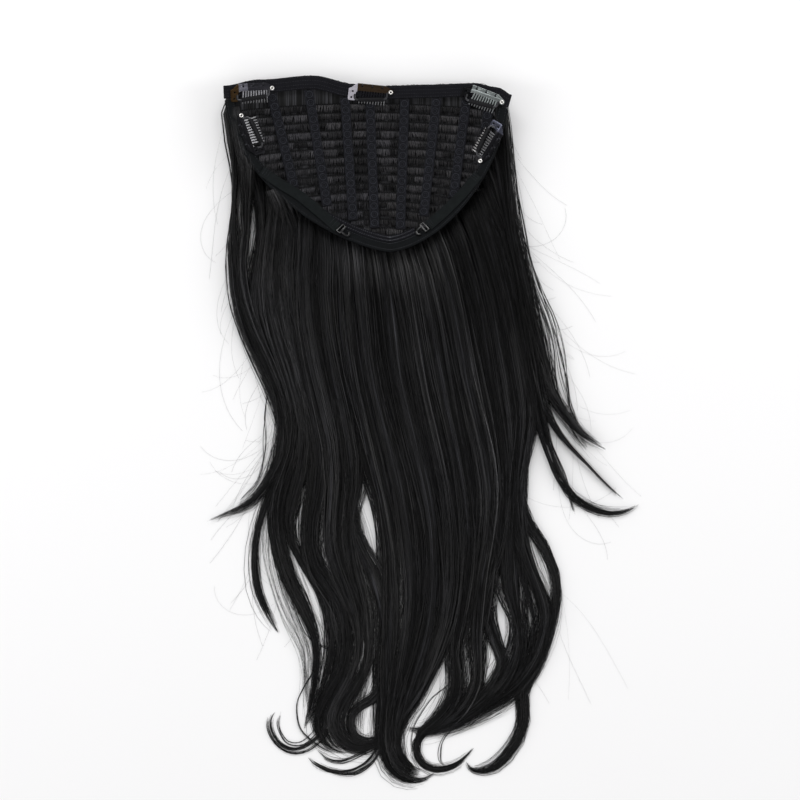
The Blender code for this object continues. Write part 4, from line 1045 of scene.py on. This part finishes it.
def stitchPlaces(route, offset, lift, pitch, length, thick, turn=0.0):
    total = sum((b - a).length for a, b in zip(route, route[1:]))
    count = max(2, int(total / pitch))
    places = []
    for number in range(count):
        share = (number + 0.5) / count
        side = routeSide(route, share)
        spot = routePoint(route, share) + side * offset
        heading = math.atan2(-side.x, side.y) + turn
        size = Matrix.Diagonal((length, thick, thick * 0.8, 1))
        places.append(surfaceFrame(spot.x, spot.y, heading, lift) @ size)
    return places


def addBands():
    xs = np.linspace(-cap["width"] / 2, cap["width"] / 2, 97)
    front = [Vector((x, frontEdge(x) - tapes["bandWidth"] / 2)) for x in xs]
    layStrip("frontBand", front, tapes["bandWidth"], cap["fitGap"], tapes["thickness"] - 0.0002,
             6, 0.0002, tapeMaterial, "front_band")
    edge = [rimPoint(6 + 165 * step / 120, tapes["edgeWidth"] / 2) for step in range(121)]
    layStrip("edgeBand", edge, tapes["edgeWidth"], cap["fitGap"], tapes["thickness"] - 0.0005,
             6, 0.0005, edgeMaterial, "edge_band", 0.0007)
    nape = [rimPoint(55 + 55 * step / 60, tapes["edgeWidth"] + cap["fitGap"]
                     + tapes["napeWidth"] / 2) for step in range(61)]
    layStrip("napeTape", nape, tapes["napeWidth"], cap["fitGap"], tapes["napeThickness"],
             4, 0.0, tapeMaterial, "nape_tape")
    top = cap["fitGap"] + tapes["thickness"]
    places = []
    for offset in (-0.0045, -0.0016, 0.0016, 0.0045):
        places += stitchPlaces(front, offset, top, tapes["stitch"], 0.0018, 0.0004)
    strew("frontBandStitches", stitchMaster, places, threadMaterial)
    places = stitchPlaces(edge, -0.0028, top, tapes["stitch"], 0.0018, 0.0004)
    places += stitchPlaces(edge, 0.0028, top, tapes["stitch"], 0.0018, 0.0004)
    strew("edgeBandStitches", stitchMaster, places, threadMaterial)
    low = cap["fitGap"] + tapes["napeThickness"]
    places = stitchPlaces(nape, -0.0015, low, 0.0016, 0.0022, 0.0005, 0.9)
    places += stitchPlaces(nape, 0.0015, low, 0.0016, 0.0022, 0.0005, -0.9)
    strew("napeStitches", stitchMaster, places, napeThreadMaterial)
    print("bands sewn")


def weftPoint(row, share):
    middle = frontEdge(0) - tapes["bandWidth"] - wefts["pitch"] * (row + 0.75)
    y = middle - wefts["sag"] * share ** 2
    down = min(-y / cap["depth"], 0.999)
    reach = cap["width"] / 2 * (1 - down ** 2) ** cap["sideRoundness"]
    return Vector((float(leanAt(down)) + share * reach, y))


def weftReach(row, side):
    share = 0.0
    while share < 1.0:
        point = weftPoint(row, side * (share + 0.01))
        if fromRim(point) < rimMargin(point) + wefts["width"] / 2:
            break
        share += 0.01
    return side * share


def addWefts():
    places, paths, tones = [], [], []
    for row in range(wefts["count"]):
        left, right = weftReach(row, -1), weftReach(row, 1)
        steps = 10 + round(26 * (right - left))
        route = [weftPoint(row, left + (right - left) * step / steps)
                 for step in range(steps + 1)]
        layStrip(f"weft{row + 1:02d}", route, wefts["width"], cap["fitGap"],
                 wefts["thickness"] - 0.0004, 3, 0.0004, weftMaterial, f"weft_{row + 1:02d}",
                 0.0003)
        top = cap["fitGap"] + wefts["thickness"]
        places += stitchPlaces(route, 0.0009, top, 0.0022, 0.0016, 0.0004, 0.4)
        length = sum((b - a).length for a, b in zip(route, route[1:]))
        count = int(length / 0.00055)
        tufts = max(2, round(length / 0.012))
        tuftTone = chance.random(tufts) ** 1.5
        tuftReach = chance.uniform(0.0048, 0.0066, tufts)
        tuftLean = chance.normal(0, 0.12, tufts)
        for number in range(count):
            along = (number + chance.random()) / count
            tuft = min(int(along * tufts), tufts - 1)
            spot = routePoint(route, along)
            drift = chance.normal(0, 0.0005)
            lean = tuftLean[tuft] + chance.normal(0, 0.08)
            puff = chance.uniform(0.0010, 0.0017)
            reach = tuftReach[tuft] + chance.normal(0, 0.0004)
            path = []
            for step in range(4):
                t = step / 3
                x = spot.x + drift * t + lean * reach * t
                y = spot.y + 0.0006 - reach * t
                rise = wefts["thickness"] * (1 - t) ** 2 + puff * math.sin(math.pi * t)
                path.append((x, y, float(capHeight(x, y)) + cap["fitGap"] + rise))
            paths.append(path)
            # Each tuft's tone sets how much painted sheen its short hairs show
            tones.append(0.06 + 0.80 * tuftTone[tuft] + 0.35 * chance.random() ** 2)
    strew("weftStitches", stitchMaster, places, threadMaterial)
    paths = np.array(paths)
    widths = np.full(paths.shape[:2], 0.00046)
    strandPiece("hairInWindows", paths, widths, np.array(tones), puffMaterial)
    print("wefts sewn", len(tones), "short hairs")


def coverTop():
    return (cap["fitGap"] * 2 + wefts["thickness"] + ribbons["seat"] + ribbons["thickness"])


def addRibbons():
    lift = cap["fitGap"] + wefts["thickness"] + ribbons["seat"]
    rings, edges = [], []
    for number, (top, foot, footDown) in enumerate(ribbons["lines"], 1):
        start = Vector((top * cap["width"] / 2, 0))
        lowest = min(frontEdge(start.x + side * ribbons["width"] / 2) for side in (-1, 0, 1))
        start.y = lowest - tapes["bandWidth"] - tapes["seamGap"]
        finish = Vector((foot * cap["width"] / 2, -footDown * cap["depth"]))
        share = 0.0
        while share < 1.0:
            point = start.lerp(finish, share + 0.01)
            if fromRim(point) < rimMargin(point) + ribbons["width"] * 0.35:
                break
            share += 0.01
        route = [start.lerp(finish, share * step / 40) for step in range(41)]
        layStrip(f"ribbon{number}", route, ribbons["width"], lift, ribbons["thickness"] * 0.7,
                 4, 0.0001, laceMaterial, f"ribbon_{number}", 0.0002)
        up = lift + ribbons["thickness"] * 0.75
        length = (route[-1] - route[0]).length
        count = int(length / ribbons["ringPitch"])
        for step in range(count):
            spot = routePoint(route, (step + 0.5) / count)
            ring = surfaceFrame(spot.x, spot.y, 0.0, up)
            rings += [ring, ring @ Matrix.Diagonal((0.48, 0.48, 1, 1))]
        for offset in (-0.0036, 0.0036):
            edges += stitchPlaces(route, offset, up, 0.0012, 0.0014, 0.0006, 1.2)
    strew("ribbonRings", ringMaster, rings, ringMaterial)
    strew("ribbonEdges", stitchMaster, edges, ringMaterial)
    print("ribbons laid", len(rings), "rings")


def addStraps():
    places = []
    for name, node in (("strapLeft", "strap_left"), ("strapRight", "strap_right")):
        points = [(across * cap["width"] / 2, -down * cap["depth"])
                  for across, down in straps[name]]
        route = smoothRoute(points, 61)
        layStrip(name, route, straps["width"], coverTop(), straps["thickness"] - 0.0002, 6,
                 0.0002, webbingMaterial, node, 0.0003)
        top = coverTop() + straps["thickness"]
        for shift in (0.02, 0.05, 0.08, 0.91, 0.95):
            cross = [routePoint(route, shift) + routeSide(route, shift) * side * 0.0036
                     for side in (-1, -0.33, 0.33, 1)]
            places += stitchPlaces(cross, 0, top, 0.0011, 0.0013, 0.0004, 0.3)
    strew("strapStitches", stitchMaster, places, threadMaterial)
    print("straps laid")


addBands()
addWefts()
addRibbons()
addStraps()


# Combs, rivets, levers and hooks, each made flat in its own plane and then set on the cap

combs = {
    "steel": 0.0006, "holeInset": 0.0024, "plateDepth": 0.0065, "plateStart": -0.0046,
    "plateLength": 0.0252, "holePitch": 0.0091, "hole": 0.0018, "teeth": 10,
    "toothPitch": 0.00235, "toothLength": 0.0116, "toothWidth": 0.0013, "toothLean": 0.0013,
    "tabRight": -0.0052, "tabWidth": 0.0067, "tabTop": -0.0024, "tabLength": 0.011,
    "rivetAlong": 0.026, "rivetIn": 0.0029, "rivet": 0.0039, "rivetHeight": 0.0012,
    "bore": 0.0015, "leverWidth": 0.0016, "sleeveWidth": 0.0038, "sleeveHeight": 0.0022,
    "places": {
        "clip_front_left": (-0.870, 0.022, 4.2),
        "clip_front_middle": (-0.032, 0.012, -5.8),
        "clip_front_right": (0.775, 0.036, -21.9),
        "clip_side_left": (-0.840, 0.366, 109.3),
        "clip_side_right": (0.925, 0.330, -121.3),
    },
}
paintedSteelReflections = {  # painted reflections and shade: the colour each comb's tab, plate, glint, teeth and tips show of the steel; glint is a painted highlight at the plate's left end
    "clip_front_left": {"tab": (0.050, 0.030, 0.014), "plate": (0.030, 0.030, 0.036),
                        "glint": (0.15, 0.15, 0.18),
                        "teeth": (0.24, 0.24, 0.26), "tips": (0.11, 0.11, 0.115)},
    "clip_front_middle": {"tab": (0.58, 0.56, 0.63), "plate": (0.045, 0.030, 0.019),
                          "teeth": (0.020, 0.020, 0.024), "tips": (0.18, 0.18, 0.19)},
    "clip_front_right": {"tab": (0.009, 0.009, 0.010), "plate": (0.19, 0.21, 0.21),
                         "teeth": (0.28, 0.31, 0.31), "tips": (0.16, 0.165, 0.17)},
    "clip_side_left": {"tab": (0.014, 0.014, 0.016), "plate": (0.014, 0.014, 0.016),
                       "teeth": (0.42, 0.42, 0.44), "tips": (0.26, 0.26, 0.27)},
    "clip_side_right": {"tab": (0.055, 0.058, 0.078), "plate": (0.012, 0.012, 0.014),
                        "teeth": (0.10, 0.10, 0.105), "tips": (0.22, 0.215, 0.215)},
}


def ringPoints(x, y, diameter, sides=20):
    return [(x + diameter / 2 * math.cos(2 * math.pi * side / sides),
             y + diameter / 2 * math.sin(2 * math.pi * side / sides))
            for side in range(sides)]


def roundCorner(corner, before, after, radius, steps=4):
    corner, before, after = Vector(corner), Vector(before), Vector(after)
    start = corner + (before - corner).normalized() * radius
    finish = corner + (after - corner).normalized() * radius
    points = []
    for step in range(steps + 1):
        t = step / steps
        points.append(tuple(start.lerp(corner, t).lerp(corner.lerp(finish, t), t)))
    return points


def combOutline(fine=True):
    c = combs
    top = c["holeInset"]
    root = c["holeInset"] - c["plateDepth"]
    left = c["plateStart"]
    right = left + c["plateLength"]
    ear = c["rivet"] * 0.62
    outline = [(left, top), (right, top)]
    turns = range(60, -141, -20) if fine else (60, 0, -60, -120)
    outline += [(c["rivetAlong"] + ear * math.cos(math.radians(turn)),
                 -c["rivetIn"] + ear * math.sin(math.radians(turn))) for turn in turns]
    for tooth in reversed(range(c["teeth"])):
        middle = -0.0003 + tooth * c["toothPitch"]
        tip = middle - c["toothLean"] * (1 - tooth / (c["teeth"] - 1))
        end = root - c["toothLength"]
        half = c["toothWidth"] / 2
        outline += [(middle + half + 0.0002, root), (middle + half, root - 0.0004),
                    (tip + half * 0.7, end + half * 1.2), (tip + half * 0.4, end + half * 0.3),
                    (tip, end), (tip - half * 0.4, end + half * 0.3),
                    (tip - half * 0.7, end + half * 1.2), (middle - half, root - 0.0004),
                    (middle - half - 0.0002, root)]
    tabRight, tabTop = c["tabRight"], c["tabTop"]
    tabLeft = tabRight - c["tabWidth"]
    tabEnd = tabTop - c["tabLength"]
    outline += [(tabRight + 0.001, root - 0.001), (tabRight, root - 0.002)]
    outline += roundCorner((tabRight, tabEnd), (tabRight, tabTop), (tabLeft, tabEnd), 0.0016)
    outline += roundCorner((tabLeft, tabEnd), (tabRight, tabEnd), (tabLeft, tabTop), 0.0016)
    outline += roundCorner((tabLeft, tabTop), (tabLeft, tabEnd), (tabRight, tabTop), 0.0016)
    return outline


def seatFrame(x, y, heading, outline):
    turn = math.radians(heading)
    along = Vector((math.cos(turn), math.sin(turn)))
    across = Vector((-along.y, along.x))
    left, right = min(u for u, v in outline), max(u for u, v in outline)
    low, high = min(v for u, v in outline), max(v for u, v in outline)

    def heightAt(u, v):
        spot = Vector((x, y)) + along * u + across * v
        return float(capHeight(spot.x, spot.y))

    middleU, middleV = (left + right) / 2, (low + high) / 2
    riseAlong = (heightAt(right, middleV) - heightAt(left, middleV)) / (right - left)
    riseAcross = (heightAt(middleU, high) - heightAt(middleU, low)) / (high - low)
    along = Vector((*along, riseAlong)).normalized()
    normal = along.cross(Vector((*across, riseAcross))).normalized()
    place = Matrix((along, normal.cross(along), normal)).transposed().to_4x4()
    spotAt = Vector((x, y, float(capHeight(x, y))))
    lift = -math.inf
    for u, v in outline:
        spot = spotAt + place.to_3x3() @ Vector((u, v, 0))
        need = float(capHeight(spot.x, spot.y)) + coverTop() - spot.z
        lift = max(lift, need * normal.z)
    place.translation = spotAt + lift * normal + capPlace
    return place


def sheetPiece(name, outline, holes, thickness, place, material, node, edge):
    curve = bpy.data.curves.new(name, "CURVE")
    curve.dimensions = "2D"
    curve.fill_mode = "BOTH"
    curve.extrude = thickness / 2 - edge
    curve.bevel_depth = edge
    curve.bevel_resolution = 1
    curve.offset = -edge
    for loop in [outline] + holes:
        spline = curve.splines.new("POLY")
        spline.points.add(len(loop) - 1)
        for point, (x, y) in zip(spline.points, loop):
            point.co = (x, y, 0, 1)
        spline.use_cyclic_u = True
    piece = bpy.data.objects.new(name, curve)
    bpy.context.scene.collection.objects.link(piece)
    bpy.ops.object.select_all(action="DESELECT")
    bpy.context.view_layer.objects.active = piece
    piece.select_set(True)
    bpy.ops.object.convert(target="MESH")
    piece = bpy.context.object
    piece.data.transform(place @ Matrix.Translation((0, 0, thickness / 2)))
    bpy.ops.object.mode_set(mode="EDIT")
    bpy.ops.mesh.select_all(action="SELECT")
    bpy.ops.mesh.remove_doubles(threshold=0.000004)
    bpy.ops.mesh.normals_make_consistent(inside=False)
    bpy.ops.object.mode_set(mode="OBJECT")
    bpy.ops.object.shade_smooth_by_angle(angle=math.radians(35))
    return finishPiece(piece, name, material, "hairpiece", (node,))


def leverRoute():
    c = combs
    low = 1.5 * c["steel"] + cap["fitGap"]
    high = c["steel"] + c["sleeveHeight"] / 2 + cap["fitGap"]
    rivetSide = c["rivetAlong"] - c["rivet"] / 2 - c["leverWidth"] / 2 - cap["fitGap"]
    return [Vector((-0.0060, -0.0074, low)), Vector((-0.0062, -0.0114, low)),
            Vector((-0.0038, -0.0124, high)), Vector((0.0208, -0.0098, high)),
            Vector((rivetSide, -0.0082, low)), Vector((rivetSide, -0.0034, low))]


def sweepSection(path, section):
    points, faces = [], []
    for step, point in enumerate(path):
        before, after = path[max(step - 1, 0)], path[min(step + 1, len(path) - 1)]
        along = (after - before).normalized()
        side = Vector((-along.y, along.x, 0)).normalized()
        rise = along.cross(side)
        points += [tuple(point + side * x + rise * z) for x, z in section]
    faces = loftFaces(len(path), len(section), 0)
    return points, faces


def roundedSection(width, height, sides=12, power=0.5):
    section = []
    for side in range(sides):
        turn = 2 * math.pi * side / sides
        x, z = math.cos(turn), math.sin(turn)
        section.append((math.copysign(abs(x) ** power, x) * width / 2,
                        math.copysign(abs(z) ** power, z) * height / 2))
    return section


def bendPath(points, radius, steps=4):
    path = [points[0]]
    for before, corner, after in zip(points, points[1:], points[2:]):
        start = corner + (before - corner).normalized() * min(radius, (before - corner).length / 2)
        finish = corner + (after - corner).normalized() * min(radius, (after - corner).length / 2)
        for step in range(steps + 1):
            t = step / steps
            path.append(start.lerp(corner, t).lerp(corner.lerp(finish, t), t))
    return path + [points[-1]]


def fixNormals(piece):
    bpy.ops.object.select_all(action="DESELECT")
    bpy.context.view_layer.objects.active = piece
    piece.select_set(True)
    bpy.ops.object.mode_set(mode="EDIT")
    bpy.ops.mesh.select_all(action="SELECT")
    bpy.ops.mesh.normals_make_consistent(inside=False)
    bpy.ops.object.mode_set(mode="OBJECT")
    bpy.ops.object.shade_smooth_by_angle(angle=math.radians(40))
    piece.select_set(False)


def layFlat(piece, flat):
    layer = piece.data.uv_layers.new(name="flat")
    for loop, spot in zip(piece.data.loops, layer.data):
        at = flat @ piece.data.vertices[loop.vertex_index].co
        spot.uv = (at.x, at.y)


def addComb(name):
    c = combs
    across, down, heading = c["places"][name]
    x, y = across * cap["width"] / 2, -down * cap["depth"]
    place = seatFrame(x, y, heading, combOutline(False))
    label = "".join(word.capitalize() if count else word
                    for count, word in enumerate(name.split("_")))
    holes = [ringPoints(number * c["holePitch"], 0, c["hole"]) for number in range(3)]
    holes.append(ringPoints(-0.0081, -0.0052, c["hole"]))
    holes.append(ringPoints(-0.0089, -0.0107, c["hole"]))
    holes.append(ringPoints(c["rivetAlong"], -c["rivetIn"], c["bore"]))
    # Each comb gets its own steel material with its painted reflection colours
    steel = makeSteel(label + "Steel", paintedSteelReflections[name])
    comb = sheetPiece(label + "Comb", combOutline(), holes, c["steel"], place, steel,
                      name + "_comb", 0.0001)
    layFlat(comb, place.inverted())

    path = bendPath(leverRoute(), 0.0012)
    points, faces = sweepSection(path, roundedSection(c["leverWidth"], c["steel"], 12, 0.45))
    points = [tuple(place @ Vector(point)) for point in points]
    lever = meshPiece(label + "Lever", points, faces, leverMaterial, name + "_lever",
                      (name + "_lever",))
    fixNormals(lever)

    start, finish = leverRoute()[2:4]
    along = (finish - start).normalized()
    start, finish = start + along * 0.0012, finish - along * 0.0006
    path, scales = [], []
    for share, scale in ((0.0, 0.62), (0.004, 0.9), (0.012, 1.0), (0.25, 1.0), (0.5, 1.02),
                         (0.75, 1.0), (0.988, 1.0), (0.996, 0.9), (1.0, 0.62)):
        path.append(start.lerp(finish, share))
        scales.append(scale)
    section = roundedSection(c["sleeveWidth"], c["sleeveHeight"], 16, 0.8)
    points, faces = sweepSection(path, section)
    points = [Vector(point) for point in points]
    for ring, scale in enumerate(scales):
        for index in range(ring * 16, ring * 16 + 16):
            points[index] = path[ring] + (points[index] - path[ring]) * scale
    points = [tuple(place @ point) for point in points]
    sleeve = meshPiece(label + "Sleeve", points, faces, rubberMaterial, name + "_lever",
                       (name + "_sleeve",))
    fixNormals(sleeve)

    bpy.ops.object.select_all(action="DESELECT")
    middle = (c["rivet"] + c["bore"]) / 4
    bpy.ops.mesh.primitive_torus_add(major_segments=28, minor_segments=12,
                                     major_radius=middle,
                                     minor_radius=(c["rivet"] - c["bore"]) / 4)
    rivet = bpy.context.object
    rivet.data.transform(place @ Matrix.Translation(
        (c["rivetAlong"], -c["rivetIn"], c["steel"] + cap["fitGap"] + c["rivetHeight"] / 2)))
    bpy.ops.object.shade_smooth()
    finishPiece(rivet, label + "Rivet", nickelMaterial, "hairpiece", (name + "_rivet",))

    threads = []
    for number in range(3):
        for shift in (-0.0004, 0.0, 0.0004):
            centre = Vector((number * c["holePitch"] + shift, c["holeInset"] * 0.55,
                             c["steel"] + 0.0001))
            size = Matrix.Diagonal((0.0004, c["holeInset"] * 1.7, 0.0005, 1))
            threads.append(place @ Matrix.Translation(centre) @ size)
    strew(label + "Threads", stitchMaster, threads, threadMaterial)


def addHook(strap, name, node):
    points = [(across * cap["width"] / 2, -down * cap["depth"])
              for across, down in straps[strap]]
    route = smoothRoute(points, 12)
    along = (route[-1] - route[-2]).normalized()
    start = route[-1] + along * tapes["seamGap"]
    long, half = 0.0126, 0.00475
    neck, bend = long * 0.42, long * 0.72
    outline = [(0, -half), (neck, -half), (neck, -half * 0.7), (bend, -half * 0.7),
               (long * 0.93, -half * 0.45), (long, 0), (long * 0.93, half * 0.45),
               (bend, half * 0.75), (bend, half * 0.35), (long * 0.82, half * 0.1),
               (long * 0.8, -half * 0.15), (bend, -half * 0.25), (neck, -half * 0.25),
               (neck, half), (0, half)]
    near, far = long * 0.12, long * 0.26
    slot = [(near, -half * 0.75), (far, -half * 0.75), (far, half * 0.75),
            (near, half * 0.75)]
    place = seatFrame(start.x, start.y, math.degrees(math.atan2(along.y, along.x)), outline)
    sheetPiece(name, outline, [slot], 0.002, place, plasticMaterial, node, 0.0004)


for clip in combs["places"]:
    addComb(clip)
addHook("strapLeft", "hookLeft", "hook_left")
addHook("strapRight", "hookRight", "hook_right")
dropMaster(stitchMaster)
dropMaster(ringMaster)
print("combs and hooks set")


# Floor, lights and camera

view = {"distance": 3.5, "height": 0.015, "sensor": 36.0}
light = {"world": 0.62, "key": 25.0, "left": 10.0, "right": 10.0,
         "floor": (0.915, 0.912, 0.917)}


def addFloor():
    bpy.ops.object.select_all(action="DESELECT")
    bpy.ops.mesh.primitive_plane_add(size=12)
    floor = bpy.context.object
    floor.name = "floor"
    material, tree, shader = newMaterial("paleFloor", 0.9, 0.0, 0.1)
    noise = tree.nodes.new("ShaderNodeTexNoise")
    noise.inputs["Scale"].default_value = 3.0
    tree.links.new(mixColours(tree, noise.outputs[0], light["floor"],
                              tuple(value * 0.985 for value in light["floor"])),
                   shader.inputs["Base Color"])
    floor.data.materials.append(material)


def addLight(name, size, energy, place, target):
    lamp = bpy.data.lights.new(name, "AREA")
    lamp.shape = "RECTANGLE"
    lamp.size, lamp.size_y = size
    lamp.energy = energy
    item = bpy.data.objects.new(name, lamp)
    bpy.context.scene.collection.objects.link(item)
    item.location = place
    item.rotation_euler = (Vector(target) - Vector(place)).to_track_quat("-Z", "Y").to_euler()


def addCamera():
    camera = bpy.data.objects.new("camera", bpy.data.cameras.new("camera"))
    bpy.context.scene.collection.objects.link(camera)
    x = (grid["viewX"] - grid["capX"]) * grid["step"] + capPlace.x
    y = -(grid["viewY"] - grid["capY"]) * grid["step"] + capPlace.y
    camera.location = (x, y, view["distance"] + view["height"])
    camera.data.sensor_width = view["sensor"]
    camera.data.lens = view["sensor"] * view["distance"] / (grid["units"] * grid["step"])
    camera.data.clip_end = 50
    bpy.context.scene.camera = camera


addFloor()
world = bpy.data.worlds.new("studio")
world.use_nodes = True
world.node_tree.nodes["Background"].inputs["Color"].default_value = (1, 1, 1, 1)
world.node_tree.nodes["Background"].inputs["Strength"].default_value = light["world"]
bpy.context.scene.world = world
addLight("key", (1.8, 0.7), light["key"], (-0.2, 1.7, 2.0), (0, 0.1, 0))
addLight("left", (0.6, 1.6), light["left"], (-1.8, 0.0, 1.3), (0, 0.0, 0))
addLight("right", (0.6, 1.6), light["right"], (1.8, 0.2, 1.3), (0, 0.0, 0))
addCamera()
bpy.context.scene.view_settings.view_transform = "Standard"

print("finished")
